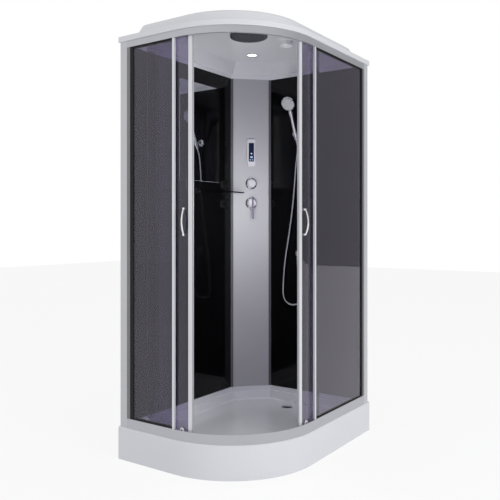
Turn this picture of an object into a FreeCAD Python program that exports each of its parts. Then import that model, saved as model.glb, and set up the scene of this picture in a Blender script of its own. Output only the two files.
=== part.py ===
import FreeCAD
import Part
import Sketcher
import math
import os
import re

# Quadrant steam shower cabin: an acrylic tray with a rounded entry, two back walls and a slanted corner
# column, two fixed panes, two curved doors on rollers, and a domed roof with a rain shower.
#
# Frame: millimetres, +Z up, origin on the floor under the middle of the tray. The long back wall is at
# the low X side, the short one at the high Y side, and the rounded entry is at high X and low Y. Angles
# round the entry are counted from the -Y direction towards +X, about the centre of the entry's arc.

# Driving dimensions: name, value, what it is.
SIZES = [
    ("tray_length", 1090, "outside, along Y"),
    ("tray_width", 800, "outside, along X"),
    ("overall_height", 2150, "floor to the crown of the roof"),
    ("entry_radius", 450, "outer radius of the rounded entry"),
    ("tray_height", 154, "floor to the rim"),
    ("tray_skin", 5, "wall of the acrylic shell"),
    ("tray_edge_radius", 7, "rounding of the rim's outer edge"),
    ("basin_depth", 44, "rim to basin floor"),
    ("basin_front_inset", 62, "rim width along the entry"),
    ("basin_wall_margin", 20, "basin edge to the face of a wall"),
    ("basin_taper", 14, "slope of the basin's sides, degrees"),
    ("basin_floor_radius", 14, "rounding between basin floor and sides"),
    ("wall_ledge_height", 24, "upstand that carries the back walls"),
    ("wall_ledge_margin", 9, "upstand in front of the face of a wall"),
    ("long_wall_inset", 45, "tray edge to the face of the long wall"),
    ("short_wall_inset", 78, "tray edge to the face of the short wall"),
    ("column_leg", 168, "how far the slanted column reaches along each wall"),
    ("wall_skin", 5, "sheet of a back wall"),
    ("wall_return_depth", 26, "folded edge behind a back wall"),
    ("column_skin", 4, "shell of the column"),
    ("column_return_depth", 28, "folded edge behind the column"),
    ("trim_width", 14, "strip over each joint of the column"),
    ("trim_thickness", 2.5, "strip over each joint of the column"),
    ("roof_lip", 18, "edge of the roof that hangs in front of the walls"),
    ("roof_lip_thickness", 3, "edge of the roof that hangs in front of the walls"),
    ("roof_rise", 167, "underside of the roof flange to the crown"),
    ("roof_flange_height", 27, "outer band of the roof"),
    ("roof_skin", 4, "shell of the roof"),
    ("roof_seat_width", 46, "inward web of the flange, over the rails"),
    ("dome_inset", 58, "flange edge to the foot of the dome"),
    ("dome_shoulder", 64, "flange top to the shoulder of the dome"),
    ("dome_shoulder_inset", 26, "foot to shoulder, inwards"),
    ("dome_crown_inset", 262, "shoulder to the flat crown, inwards"),
    ("dome_shoulder_radius", 30, "rounding of the dome's shoulder"),
    ("roof_edge_radius", 5, "rounding of the band's upper edge"),
    ("ceiling_drop", 100, "flat ceiling below the crown of the roof"),
    ("ceiling_skin", 3, "shell of the ceiling"),
    ("ceiling_front_inset", 62, "tray edge to the foot of the ceiling's side along the entry"),
    ("ceiling_wall_margin", 18, "wall to the foot of the ceiling's side"),
    ("ceiling_taper", 24, "slope of the ceiling's sides from the vertical, degrees"),
    ("rail_inset", 5, "tray edge to the outer face of the rails"),
    ("rail_wall", 2.5, "wall of the aluminium rails"),
    ("bottom_rail_height", 45, "above the tray rim"),
    ("bottom_rail_depth", 29, "front to back"),
    ("bottom_guard_height", 20, "inner wall of the bottom rail"),
    ("bottom_track_height", 34, "running edge of the bottom rollers above the rim"),
    ("top_rail_height", 31, "below the roof flange"),
    ("top_rail_depth", 34.5, "front to back"),
    ("top_guard_height", 4.5, "inner lip of the top rail"),
    ("top_track_height", 4.5, "running edge of the top rollers above the rail's base"),
    ("track_inset", 17, "tray edge to the roller track"),
    ("track_width", 2, "thickness of the roller track"),
    ("post_width", 44, "along the glass"),
    ("post_depth", 35, "into the cabin"),
    ("post_wall", 2.5, "wall of the aluminium posts"),
    ("left_post_offset", 8, "tray end to the left post"),
    ("right_post_offset", 12, "tray end to the right post"),
    ("fixed_glass_inset", 8, "tray edge to the fixed panes"),
    ("fixed_glass_thickness", 5, "tempered glass"),
    ("fixed_glass_drop", 8, "how far a pane sits in the bottom rail"),
    ("glass_channel_width", 20, "upright channel round an edge of a fixed pane"),
    ("glass_channel_wall", 2.2, "wall of that channel"),
    ("glass_grip", 12, "depth of glass in a channel"),
    ("edge_channel_width", 12, "upright channel on the free edge of a pane"),
    ("edge_grip", 7, "depth of glass in that channel"),
    ("left_pane_gap", 4, "free edge of the left channel to the start of the entry arc"),
    ("right_pane_gap", 40, "free edge of the right channel to the start of the entry arc"),
    ("gasket_width", 22, "dark seal beside the post"),
    ("gasket_height", 12, "dark seal under the top rail"),
    ("gasket_gap", 0.2, "glass clearance in a seal or channel"),
    ("door_glass_inset", 22, "entry arc to the outer face of a door"),
    ("door_glass_thickness", 5, "tempered curved glass"),
    ("door_angle", 52.5, "arc covered by one door, degrees"),
    ("left_door_at", 11.5, "leading edge of the left door as it stands, degrees"),
    ("right_door_at", 80, "leading edge of the right door as it stands, degrees"),
    ("door_bottom", 182, "floor to the lower edge of a door"),
    ("door_top_gap", 7, "upper edge of a door below the roof flange"),
    ("door_profile_width", 18, "leading profile of a door, round the arc"),
    ("door_profile_depth", 10, "leading profile of a door, through the glass"),
    ("magnet_width", 5, "magnetic strip on the leading profile"),
    ("fin_width", 4, "seal on the trailing edge"),
    ("roller_lead", 7.5, "leading roller behind the leading edge, degrees"),
    ("roller_trail", 45.5, "trailing roller behind the leading edge, degrees"),
    ("roller_radius", 11.5, "flange of a roller"),
    ("roller_tread", 9.5, "running radius in the groove of a roller"),
    ("roller_width", 5, "along its axle"),
    ("roller_flange", 1.3, "flange on the inner side of a roller"),
    ("axle_radius", 3, "pin of a roller"),
    ("running_gap", 0.05, "radial gap between axle and roller"),
    ("track_gap", 0.3, "gap between roller and track"),
    ("roller_knob_radius", 11, "cap of a roller inside the cabin"),
    ("roller_knob_height", 9, "cap of a roller inside the cabin"),
    ("glass_hole_radius", 5, "holes for rollers and handles"),
    ("handle_height", 1127, "floor to the middle of a handle"),
    ("handle_length", 116, "between its two feet"),
    ("handle_rise", 26, "glass to the outside of the bow"),
    ("handle_lead", 6, "handle behind the leading edge, degrees"),
    ("handle_bar", 4, "half width of the bow"),
    ("handle_foot_radius", 6.5, "foot on the glass"),
    ("mirror_y", 12.5, "middle of the mirror, along Y"),
    ("mirror_width", 343, "along the wall"),
    ("mirror_base", 1354, "floor to its lower edge"),
    ("mirror_height", 530, "upwards"),
    ("mirror_thickness", 4, "silvered glass"),
    ("shelf_height", 1296, "floor to the underside of the shelf"),
    ("shelf_depth", 112, "out from the wall"),
    ("shelf_end", -156, "near end of the shelf, along Y"),
    ("shelf_corner", 34, "rounded corners of the shelf"),
    ("shelf_thickness", 6, "glass plate"),
    ("bracket_radius", 9, "shelf posts on the wall"),
    ("bracket_grip", 24, "shelf posts, out from the wall"),
    ("panel_base", 1459, "floor to the lower end of the control panel"),
    ("panel_height", 159, "control panel"),
    ("panel_width", 48, "control panel"),
    ("panel_depth", 12, "control panel"),
    ("display_base", 26, "panel end to display"),
    ("display_height", 109, "display window"),
    ("display_width", 31, "display window"),
    ("knob_height", 1357, "floor to the diverter knob"),
    ("mixer_height", 1244, "floor to the mixer"),
    ("plate_radius", 33, "wall plates of the valves"),
    ("plate_thickness", 9, "wall plates of the valves"),
    ("knob_radius", 25, "diverter knob"),
    ("knob_depth", 30, "diverter knob"),
    ("knob_lobes", 6, "finger grooves round the knob"),
    ("spindle_radius", 5, "shafts of the valves"),
    ("mixer_radius", 25, "turning body of the mixer"),
    ("mixer_depth", 34, "turning body of the mixer"),
    ("lever_width", 11, "mixer lever"),
    ("lever_reach", 92, "mixer lever below its axis"),
    ("lever_slot", 20, "slot of the mixer for its lever"),
    ("valve_back", 42, "face of the column to the middle of the valve body"),
    ("holder_x", 8, "shower holder, along X"),
    ("holder_height", 1634, "floor to the holder's pivot"),
    ("holder_reach", 29, "wall face to the pivot"),
    ("handset_lean", 23.5, "handset leaning off the wall, degrees"),
    ("handset_offset", 22, "pivot to the middle of the handle"),
    ("handset_below", 19, "pivot to the lower end of the handle, along the handle"),
    ("handset_length", 198, "lower end of the handle to the middle of the head"),
    ("head_tilt", 6.5, "spray face turned down from the line of the handle, degrees"),
    ("head_radius", 40, "spray head"),
    ("head_front", 14, "line of the handle to the spray face"),
    ("head_back", 6, "line of the handle to the back of the head"),
    ("grip_radius", 9, "handle at the hose"),
    ("neck_radius", 11.5, "handle below the head"),
    ("outlet_x", 6, "wall outlet, along X"),
    ("outlet_height", 961, "floor to the wall outlet"),
    ("outlet_reach", 24, "wall face to the hose at the outlet"),
    ("hose_radius", 5.5, "metal hose"),
    ("hose_lead", 40, "first straight run of the hose under its nut"),
    ("nut_length", 20, "hose nuts"),
    ("rain_x", 52, "rain shower, along X"),
    ("rain_y", -106, "rain shower, along Y"),
    ("rain_radius", 93, "rain shower plate"),
    ("rain_neck_radius", 12, "neck through the ceiling"),
    ("light_x", -141, "ceiling light, along X"),
    ("light_y", 205, "ceiling light, along Y"),
    ("light_radius", 33, "rim of the ceiling light"),
    ("vent_x", 142, "air outlet, along X"),
    ("vent_y", 96, "air outlet, along Y"),
    ("vent_radius", 36, "air outlet"),
    ("vent_depth", 24, "below the ceiling"),
    ("drain_x", 4, "drain, along X"),
    ("drain_y", 335, "drain, along Y"),
    ("drain_radius", 33, "drain cover"),
    ("trap_radius", 42, "body of the trap"),
    ("trap_depth", 84, "below the basin floor"),
    ("waste_radius", 20, "waste outlet"),
    ("waste_length", 72, "waste outlet, out of the trap"),
    ("waste_collar", 12, "stop collar on the waste outlet"),
    ("frame_tube", 25, "square steel tube under the tray"),
    ("frame_left", 110, "tray edge to frame"),
    ("frame_right", 130, "tray edge to frame"),
    ("frame_front", 120, "tray edge to frame"),
    ("frame_back", 70, "tray edge to frame"),
    ("frame_corner", 190, "corner of the frame cut off under the entry"),
    ("foot_radius", 22, "levelling feet"),
    ("foot_bolt_radius", 6, "levelling feet"),
    ("inlet_radius", 10.4, "hot and cold tails, half inch thread"),
    ("inlet_length", 16, "hot and cold tails"),
    ("inlet_spacing", 60, "hot to cold"),
    ("pipe_radius", 7, "supply pipes behind the walls"),
    ("pipe_bend", 25, "supply pipes behind the walls"),
    ("pipe_side", 92.3, "valve to the dropping pipe, along X"),
    ("rain_bend", 10, "elbow over the rain shower"),
    ("face_gap", 0.3, "gap between pieces that move past each other"),
]

# Sizes that follow from the driving ones.
DERIVED = [
    ("roof_base", "=overall_height - roof_rise", "floor to the underside of the roof flange"),
    ("ceiling_height", "=overall_height - ceiling_drop", "floor to the flat ceiling"),
    ("left_pane_end", "=tray_width - entry_radius - left_pane_gap", "tray end to the left free edge"),
    ("right_pane_end", "=tray_length - entry_radius - right_pane_gap", "tray end to the right free edge"),
]

doc = FreeCAD.newDocument("ShowerCabin")
sheet = doc.addObject("Spreadsheet::Sheet", "Sizes")
for row, (alias, size, note) in enumerate(SIZES + DERIVED, start=1):
    sheet.set(f"A{row}", note)
    sheet.set(f"B{row}", str(size))
    sheet.setAlias(f"B{row}", alias)
doc.recompute()

ALIASES = {alias for alias, _, _ in SIZES + DERIVED}
PARTS = []

# Places that several pieces share, worked out from the driving dimensions.
LEFT = "(-tray_width / 2)"
RIGHT = "(tray_width / 2)"
FRONT = "(-tray_length / 2)"
BACK = "(tray_length / 2)"
ARC_X = "(tray_width / 2 - entry_radius)"
ARC_Y = "(entry_radius - tray_length / 2)"
WALL_X = "(long_wall_inset - tray_width / 2)"
WALL_Y = "(tray_length / 2 - short_wall_inset)"
COLUMN_X = f"({WALL_X} + column_leg)"
COLUMN_Y = f"({WALL_Y} - column_leg)"
WALL_BASE = "(tray_height + wall_ledge_height)"
WALL_TOP = "roof_base"
RAIL_TOP = "(tray_height + bottom_rail_height)"
HEAD_RAIL = "(roof_base - top_rail_height)"
BASIN_FLOOR = "(tray_height - basin_depth)"
DOOR_TOP = "(roof_base - door_top_gap)"
DOOR_INNER = "(entry_radius - door_glass_inset - door_glass_thickness)"
DOOR_OUTER = "(entry_radius - door_glass_inset)"
TRACK_RADIUS = "(entry_radius - track_inset - track_width / 2)"
LOWER_AXLE = "(tray_height + bottom_track_height + roller_tread + track_gap)"
UPPER_AXLE = f"({HEAD_RAIL} + top_track_height + roller_tread + track_gap)"
FACE_X = f"({WALL_X} + column_leg / 2)"
FACE_Y = f"({COLUMN_Y} + column_leg / 2)"
SLANT = "(sqrt(2) - 1)"


# ---------------------------------------------------------------- helpers


def linked(expression):
    """The expression with the sheet's name before each of its aliases."""
    return re.sub(
        r"[A-Za-z_]\w*",
        lambda word: "Sizes." + word.group() if word.group() in ALIASES else word.group(),
        str(expression),
    )


def value(expression):
    """The number that an expression of the sheet's aliases gives."""
    return float(sheet.evalExpression(linked(expression)))


def bind(thing, prop, expression):
    """Ties one property of an object to the sheet."""
    thing.setExpression(prop, linked(expression))


def new_body(label, several=False):
    """A body that becomes one node; several allows it to hold separate solids."""
    body = doc.addObject("PartDesign::Body", label)
    body.Label = label
    body.AllowCompound = several
    PARTS.append(body)
    return body


def place(body, x="0", y="0", z="0", turn=None, axis=(0, 0, 1)):
    """Moves a body to a point and turns it about an axis by an angle of the sheet."""
    body.Placement = FreeCAD.Placement(FreeCAD.Vector(), FreeCAD.Rotation(FreeCAD.Vector(*axis), 1))
    for letter, expression in zip("xyz", (x, y, z)):
        bind(body, f"Placement.Base.{letter}", expression)
    bind(body, "Placement.Rotation.Angle", turn if turn else "0")


def new_sketch(body, plane, off="0", lift="0", shift="0", swing=None, roll=None):
    """A sketch on an origin plane of its body: off along the plane's normal, shift and lift along the plane's
    own X and Y, and then turned about its own Y by swing or about its normal by roll."""
    sketch = body.newObject("Sketcher::SketchObject", body.Label + "_sketch")
    support = next(item for item in body.Origin.OriginFeatures if item.Role == plane)
    sketch.AttachmentSupport = [(support, "")]
    sketch.MapMode = "FlatFace"
    bind(sketch, "AttachmentOffset.Base.x", shift)
    bind(sketch, "AttachmentOffset.Base.y", lift)
    bind(sketch, "AttachmentOffset.Base.z", off)
    if swing or roll:
        axis = FreeCAD.Vector(0, 1, 0) if swing else FreeCAD.Vector(0, 0, 1)
        sketch.AttachmentOffset = FreeCAD.Placement(FreeCAD.Vector(), FreeCAD.Rotation(axis, 1))
        bind(sketch, "AttachmentOffset.Rotation.Angle", swing or roll)
    return sketch


def trace(sketch, steps, closed=True):
    """Draws an outline. A step is (x, y) for a straight side to that point, or (x, y, radius, side) for an
    arc to it, where side is 1 for an arc that turns left and -1 for one that turns right."""
    points = [FreeCAD.Vector(value(step[0]), value(step[1]), 0) for step in steps]
    sides = len(steps) if closed else len(steps) - 1
    ends = []
    for index in range(sides):
        start, finish = points[index], points[(index + 1) % len(points)]
        step = steps[(index + 1) % len(steps)]
        if len(step) == 2:
            side = sketch.addGeometry(Part.LineSegment(start, finish))
            ends.append((side, 1, 2))
            continue
        radius, turn = value(step[2]), step[3]
        chord = finish - start
        across = FreeCAD.Vector(-chord.y, chord.x, 0).normalize()
        rise = math.sqrt(max(radius**2 - (chord.Length / 2) ** 2, 0))
        centre = (start + finish) / 2 + across * rise * turn
        first, last = (start, finish) if turn > 0 else (finish, start)
        angles = [math.atan2(point.y - centre.y, point.x - centre.x) for point in (first, last)]
        if angles[1] < angles[0]:
            angles[1] += 2 * math.pi
        circle = Part.Circle(centre, FreeCAD.Vector(0, 0, 1), radius)
        side = sketch.addGeometry(Part.ArcOfCircle(circle, *angles))
        number = sketch.addConstraint(Sketcher.Constraint("Radius", side, radius))
        sketch.setExpression(f"Constraints[{number}]", linked(step[2]))
        ends.append((side, 1, 2) if turn > 0 else (side, 2, 1))
    for index in range(sides if closed else sides - 1):
        here, following = ends[index], ends[(index + 1) % sides]
        joint = Sketcher.Constraint("Coincident", here[0], here[2], following[0], following[1])
        sketch.addConstraint(joint)
    for index, step in enumerate(steps):
        side, start, finish = ends[min(index, sides - 1)]
        corner = start if index < sides else finish
        for kind, expression in (("DistanceX", step[0]), ("DistanceY", step[1])):
            number = sketch.addConstraint(
                Sketcher.Constraint(kind, -1, 1, side, corner, value(expression))
            )
            sketch.setExpression(f"Constraints[{number}]", linked(expression))


def box_outline(sketch, x1, y1, x2, y2):
    """A rectangle between two corners."""
    trace(sketch, [(x1, y1), (x2, y1), (x2, y2), (x1, y2)])


def ring(sketch, radius, x="0", y="0"):
    """A full circle."""
    centre = FreeCAD.Vector(value(x), value(y), 0)
    circle = sketch.addGeometry(Part.Circle(centre, FreeCAD.Vector(0, 0, 1), value(radius)))
    number = sketch.addConstraint(Sketcher.Constraint("Radius", circle, value(radius)))
    sketch.setExpression(f"Constraints[{number}]", linked(radius))
    for kind, expression in (("DistanceX", x), ("DistanceY", y)):
        number = sketch.addConstraint(
            Sketcher.Constraint(kind, -1, 1, circle, 3, value(expression))
        )
        sketch.setExpression(f"Constraints[{number}]", linked(expression))


def feature(body, kind, sketch, **numbers):
    """Adds a sketch-based feature; each number is an expression that drives the property it names."""
    made = body.newObject("PartDesign::" + kind, body.Label + "_" + kind.lower())
    made.Profile = sketch
    for prop, expression in numbers.items():
        bind(made, prop, expression)
    body.Tip = made
    return made


def pad(body, sketch, length, taper=None, down=False, middle=False):
    """Material along the sketch's normal."""
    made = feature(body, "Pad", sketch, Length=length)
    made.Reversed = down
    made.Midplane = middle
    if taper:
        bind(made, "TaperAngle", taper)
    return made


def pocket(body, sketch, length, taper=None, up=False, middle=False):
    """A cut against the sketch's normal, or along it."""
    made = feature(body, "Pocket", sketch, Length=length)
    made.Reversed = up
    made.Midplane = middle
    if taper:
        bind(made, "TaperAngle", taper)
    return made


def revolve(body, sketch, axis="V_Axis", angle="360", back=False, middle=False, cut=False):
    """Turns a profile about an axis of its own sketch."""
    made = feature(body, "Groove" if cut else "Revolution", sketch, Angle=angle)
    made.ReferenceAxis = (sketch, [axis])
    made.Reversed = back
    made.Midplane = middle
    return made


def pipe(body, profile, path):
    """Sweeps a profile along every edge of a path sketch."""
    made = body.newObject("PartDesign::AdditivePipe", body.Label + "_pipe")
    made.Profile = profile
    made.Spine = (path, [f"Edge{number + 1}" for number in range(path.GeometryCount)])
    body.Tip = made
    return made


def soften(body, chosen, radius, kind="Fillet"):
    """Rounds or bevels the edges for which chosen says yes."""
    doc.recompute()
    base = body.Tip
    names = [f"Edge{number}" for number, edge in enumerate(base.Shape.Edges, 1) if chosen(edge)]
    made = body.newObject("PartDesign::" + kind, body.Label + "_" + kind.lower())
    made.Base = (base, names)
    bind(made, "Radius" if kind == "Fillet" else "Size", radius)
    body.Tip = made


def level(edge, height):
    """Whether an edge lies wholly at one height."""
    box = edge.BoundBox
    return abs(box.ZMin - height) < 0.01 and abs(box.ZMax - height) < 0.01


def entry_path(inset, start, finish):
    """Open outline along the straight front, round the entry and along the straight side."""
    return [
        (start, f"{FRONT} + {inset}"),
        (ARC_X, f"{FRONT} + {inset}"),
        (f"{RIGHT} - {inset}", ARC_Y, f"entry_radius - {inset}", 1),
        (f"{RIGHT} - {inset}", finish),
    ]


def entry_strip(outer, inner, start, finish):
    """Closed band between two insets of the entry's outline."""
    return entry_path(outer, start, finish) + [
        (f"{RIGHT} - {inner}", finish),
        (f"{RIGHT} - {inner}", ARC_Y),
        (ARC_X, f"{FRONT} + {inner}", f"entry_radius - {inner}", -1),
        (start, f"{FRONT} + {inner}"),
    ]


def cabin_outline(inset="0"):
    """The whole plan of the cabin, inset alike on every side."""
    return entry_path(inset, f"{LEFT} + {inset}", f"{BACK} - {inset}") + [
        (f"{LEFT} + {inset}", f"{BACK} - {inset}"),
    ]


def room_outline(front, margin):
    """The plan inside the walls: inset along the entry, and a margin off the walls and the column."""
    return entry_path(front, f"{WALL_X} + {margin}", f"{WALL_Y} - {margin}") + [
        (f"{COLUMN_X} + {margin} * {SLANT}", f"{WALL_Y} - {margin}"),
        (f"{WALL_X} + {margin}", f"{COLUMN_Y} - {margin} * {SLANT}"),
    ]


# ---------------------------------------------------------------- tray and what is under it


def make_tray():
    """Acrylic shell: rim, skirt round the entry, ledge under the walls and a tapered basin with a drain."""
    body = new_body("tray")
    rim = new_sketch(body, "XY_Plane", off="tray_height - tray_skin")
    trace(rim, cabin_outline())
    pad(body, rim, "tray_skin")
    skirt = new_sketch(body, "XY_Plane")
    trace(skirt, entry_strip("0", "tray_skin", LEFT, BACK))
    pad(body, skirt, "tray_height - tray_skin")
    ledge = new_sketch(body, "XY_Plane", off="tray_height")
    front_end = f"{FRONT} + rail_inset + post_depth"
    side_end = f"{RIGHT} - rail_inset - post_depth"
    margin = "wall_ledge_margin"
    trace(
        ledge,
        [
            (LEFT, front_end),
            (f"{WALL_X} + {margin}", front_end),
            (f"{WALL_X} + {margin}", f"{COLUMN_Y} - {margin} * {SLANT}"),
            (f"{COLUMN_X} + {margin} * {SLANT}", f"{WALL_Y} - {margin}"),
            (side_end, f"{WALL_Y} - {margin}"),
            (side_end, BACK),
            (LEFT, BACK),
        ],
    )
    pad(body, ledge, "wall_ledge_height")
    bowl = new_sketch(body, "XY_Plane", off="tray_height - tray_skin")
    trace(bowl, room_outline("(basin_front_inset - tray_skin)", "(basin_wall_margin - tray_skin)"))
    pad(body, bowl, "basin_depth", taper="basin_taper", down=True)
    basin = new_sketch(body, "XY_Plane", off="tray_height")
    trace(basin, room_outline("basin_front_inset", "basin_wall_margin"))
    pocket(body, basin, "basin_depth", taper="-basin_taper")
    drain = new_sketch(body, "XY_Plane", off=BASIN_FLOOR)
    ring(drain, "drain_radius - 3 + gasket_gap", "drain_x", "drain_y")
    pocket(body, drain, "2 * tray_skin + basin_depth")
    rim_height = value("tray_height")
    floor_height = value(BASIN_FLOOR)
    left, front = value(LEFT), value(FRONT)
    right, back = value(RIGHT), value(BACK)

    def outer_edge(edge):
        box = edge.BoundBox
        far_left = box.XMax < left + 1
        far_back = box.YMin > back - 1
        on_rim = level(edge, rim_height)
        outside = box.YMin < front + 1 or box.XMax > right - 1
        return on_rim and outside and not far_left and not far_back

    soften(body, outer_edge, "tray_edge_radius")
    drain_reach = value("drain_radius") + 1

    def floor_edge(edge):
        round_drain = edge.BoundBox.DiagonalLength < 3 * drain_reach
        return level(edge, floor_height) and not round_drain

    soften(body, floor_edge, "basin_floor_radius")


def make_tray_frame():
    """Welded square tube under the basin, with a corner cut off for the rounded entry, and its feet."""
    body = new_body("tray_frame")
    tube, corner = "frame_tube", "frame_corner"
    left, right = f"({LEFT} + frame_left)", f"({RIGHT} - frame_right)"
    low, high = f"({FRONT} + frame_front)", f"({BACK} - frame_back)"
    bevel = f"{tube} * {SLANT}"
    members = new_sketch(body, "XY_Plane", off=f"{BASIN_FLOOR} - tray_skin - frame_tube")
    outline = [(left, low), (f"{right} - {corner}", low), (right, f"{low} + {corner}"), (right, high), (left, high)]
    trace(members, outline)
    x1, x2 = f"{left} + {tube}", f"{right} - {tube}"
    trace(
        members,
        [
            (x1, f"{low} + {tube}"),
            (f"{right} - {corner} - {bevel}", f"{low} + {tube}"),
            (x2, f"{low} + {corner} + {bevel}"),
            (x2, f"-{tube} / 2"),
            (x1, f"-{tube} / 2"),
        ],
    )
    box_outline(members, x1, f"{tube} / 2", x2, f"{high} - {tube}")
    pad(body, members, tube)

    feet = new_body("levelling_feet", several=True)
    frame_under = f"({BASIN_FLOOR} - tray_skin - frame_tube)"
    half = f"{tube} / 2"
    places = [
        (f"{left} + {half}", f"{low} + {half}"),
        (f"{right} - {corner} - {half}", f"{low} + {half}"),
        (f"{right} - {half}", f"{low} + {corner} + {half}"),
        (f"{left} + {half}", "0"),
        (f"{left} + {half}", f"{high} - {half}"),
        (f"{right} - {half}", f"{high} - {half}"),
    ]
    for radius, base, height in (
        ("foot_radius", "0", "6"),
        ("foot_bolt_radius", "6", f"{frame_under} - 6"),
        ("foot_bolt_radius * 1.7", f"{frame_under} - 9", "9"),
    ):
        discs = new_sketch(feet, "XY_Plane", off=base)
        for x, y in places:
            ring(discs, radius, x, y)
        pad(feet, discs, height)


def make_drain():
    """Trap clamped through the basin floor, and its cover."""
    trap = new_body("drain_trap")
    place(trap, "drain_x", "drain_y", BASIN_FLOOR)
    shape = new_sketch(trap, "XZ_Plane")
    neck = "(drain_radius - 3)"
    trace(
        shape,
        [
            (f"{neck} - 4", "1"),
            ("drain_radius", "1"),
            ("drain_radius", "0"),
            (neck, "0"),
            (neck, "-tray_skin"),
            ("trap_radius", "-tray_skin"),
            ("trap_radius", "-trap_depth"),
            ("0", "-trap_depth"),
            ("0", "4 - trap_depth"),
            (f"{neck} - 4", "4 - trap_depth"),
        ],
    )
    revolve(trap, shape)
    axis = "(waste_radius + 1 - trap_depth)"
    for radius, reach in (("waste_radius + 3.5", "waste_collar"), ("waste_radius", "waste_length")):
        outlet = new_sketch(trap, "XZ_Plane", off="3 - trap_radius")
        ring(outlet, radius, "0", axis)
        pad(trap, outlet, reach, down=True)
    bore = new_sketch(trap, "XZ_Plane", off="-trap_radius - waste_length")
    ring(bore, "waste_radius - 3", "0", axis)
    pocket(trap, bore, "waste_length + trap_radius / 2", up=True)
    cover = new_body("drain_cover")
    place(cover, "drain_x", "drain_y", f"{BASIN_FLOOR} + 1")
    disc = new_sketch(cover, "XZ_Plane")
    trace(
        disc,
        [
            ("0", "-6"),
            ("7", "-6"),
            ("7", "0"),
            ("drain_radius", "0"),
            ("drain_radius", "2"),
            ("0", "5", "drain_radius * drain_radius / 6 + 1.5", 1),
        ],
    )
    revolve(cover, disc)


# ---------------------------------------------------------------- back walls and column


def make_wall(label, x, y, turn, start, finish):
    """A back wall: a sheet with folded edges and a stiffening fold half way up."""
    body = new_body(label)
    place(body, x, y, "0", turn)
    face = new_sketch(body, "XZ_Plane")
    box_outline(face, start, WALL_BASE, finish, WALL_TOP)
    pad(body, face, "wall_return_depth", down=True)
    hollow = new_sketch(body, "XZ_Plane", off="-wall_return_depth")
    skin = "wall_skin"
    middle = f"(({WALL_BASE} + {WALL_TOP}) / 2)"
    for base, top in ((WALL_BASE, f"({middle} - {skin} / 2)"), (f"({middle} - {skin} / 2)", WALL_TOP)):
        box_outline(hollow, f"{start} + {skin}", f"{base} + {skin}", f"{finish} - {skin}", f"{top} - {skin}")
    pocket(body, hollow, "wall_return_depth - wall_skin", up=True)
    return body


def make_walls():
    """The two back walls; the hose outlet passes through the short one."""
    make_wall("long_wall_panel", WALL_X, "0", "90", f"({FRONT} + rail_inset + post_depth)", COLUMN_Y)
    side_end = f"({RIGHT} - rail_inset - post_depth)"
    body = make_wall("short_wall_panel", "0", WALL_Y, "0", COLUMN_X, side_end)
    hole = new_sketch(body, "XZ_Plane", off="-wall_skin")
    ring(hole, "pipe_radius + 1", "outlet_x", "outlet_height")
    pocket(body, hole, "wall_skin", up=True)


def on_column(label, several=False, height="0"):
    """A body whose XZ plane is the face of the column, with -Y pointing out of it."""
    body = new_body(label, several)
    place(body, FACE_X, FACE_Y, height, "45")
    return body


COLUMN_HALF = "(column_leg / sqrt(2))"


def make_column():
    """Slanted corner column with folded edges, holed for the two valves, and a strip over each joint."""
    body = on_column("corner_column")
    plan = new_sketch(body, "XY_Plane", off=WALL_BASE)
    half, skin = COLUMN_HALF, "column_skin"
    depth, fold, corner = "(column_return_depth / sqrt(2))", "(column_skin / sqrt(2))", f"(column_skin * {SLANT})"
    trace(
        plan,
        [
            (f"-{half}", "0"),
            (half, "0"),
            (f"{half} + {depth}", depth),
            (f"{half} + {depth} - {fold}", f"{depth} + {fold}"),
            (f"{half} - {corner}", skin),
            (f"-{half} + {corner}", skin),
            (f"-{half} - {depth} + {fold}", f"{depth} + {fold}"),
            (f"-{half} - {depth}", depth),
        ],
    )
    pad(body, plan, f"{WALL_TOP} - {WALL_BASE}")
    holes = new_sketch(body, "XZ_Plane", off="-column_skin")
    for height in ("knob_height", "mixer_height"):
        ring(holes, "spindle_radius + 6", "0", height)
    pocket(body, holes, "column_skin", up=True)
    trims = on_column("column_edge_trims", several=True)
    face = new_sketch(trims, "XZ_Plane")
    for low, high in ((f"-{half} + 1", f"-{half} + trim_width"), (f"{half} - trim_width", f"{half} - 1")):
        box_outline(face, low, WALL_BASE, high, f"{WALL_TOP} - roof_lip - 1")
    pad(trims, face, "trim_thickness")


# ---------------------------------------------------------------- posts, rails and fixed glass


def make_posts():
    """Hollow aluminium posts at the two ends of the glass front."""
    wall = "post_wall"
    for label, x1, x2, y1, y2 in (
        (
            "left_post",
            f"({LEFT} + left_post_offset)",
            f"({LEFT} + left_post_offset + post_width)",
            f"({FRONT} + rail_inset)",
            f"({FRONT} + rail_inset + post_depth)",
        ),
        (
            "right_post",
            f"({RIGHT} - rail_inset - post_depth)",
            f"({RIGHT} - rail_inset)",
            f"({BACK} - right_post_offset - post_width)",
            f"({BACK} - right_post_offset)",
        ),
    ):
        body = new_body(label)
        section = new_sketch(body, "XY_Plane", off="tray_height")
        box_outline(section, x1, y1, x2, y2)
        box_outline(section, f"{x1} + {wall}", f"{y1} + {wall}", f"{x2} - {wall}", f"{y2} - {wall}")
        pad(body, section, "roof_base - tray_height")
        height = value("tray_height") + 1
        front, right = value(f"{FRONT} + rail_inset"), value(f"{RIGHT} - rail_inset")

        def outer_corner(edge):
            box = edge.BoundBox
            upright = box.ZLength > height
            outside = abs(box.YMax - front) < 0.01 or abs(box.XMin - right) < 0.01
            return upright and outside

        soften(body, outer_corner, "2")


RAIL_START = f"({LEFT} + left_post_offset + post_width)"
RAIL_FINISH = f"({BACK} - right_post_offset - post_width)"


def sweep_rail(label, outline):
    """An aluminium profile swept from post to post round the entry."""
    body = new_body(label)
    path = new_sketch(body, "XY_Plane")
    trace(path, entry_path("rail_inset", RAIL_START, RAIL_FINISH), closed=False)
    profile = new_sketch(body, "YZ_Plane", off=RAIL_START)
    trace(profile, [(f"{FRONT} + {inset}", height) for inset, height in outline])
    doc.recompute()
    pipe(body, profile, path)


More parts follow.
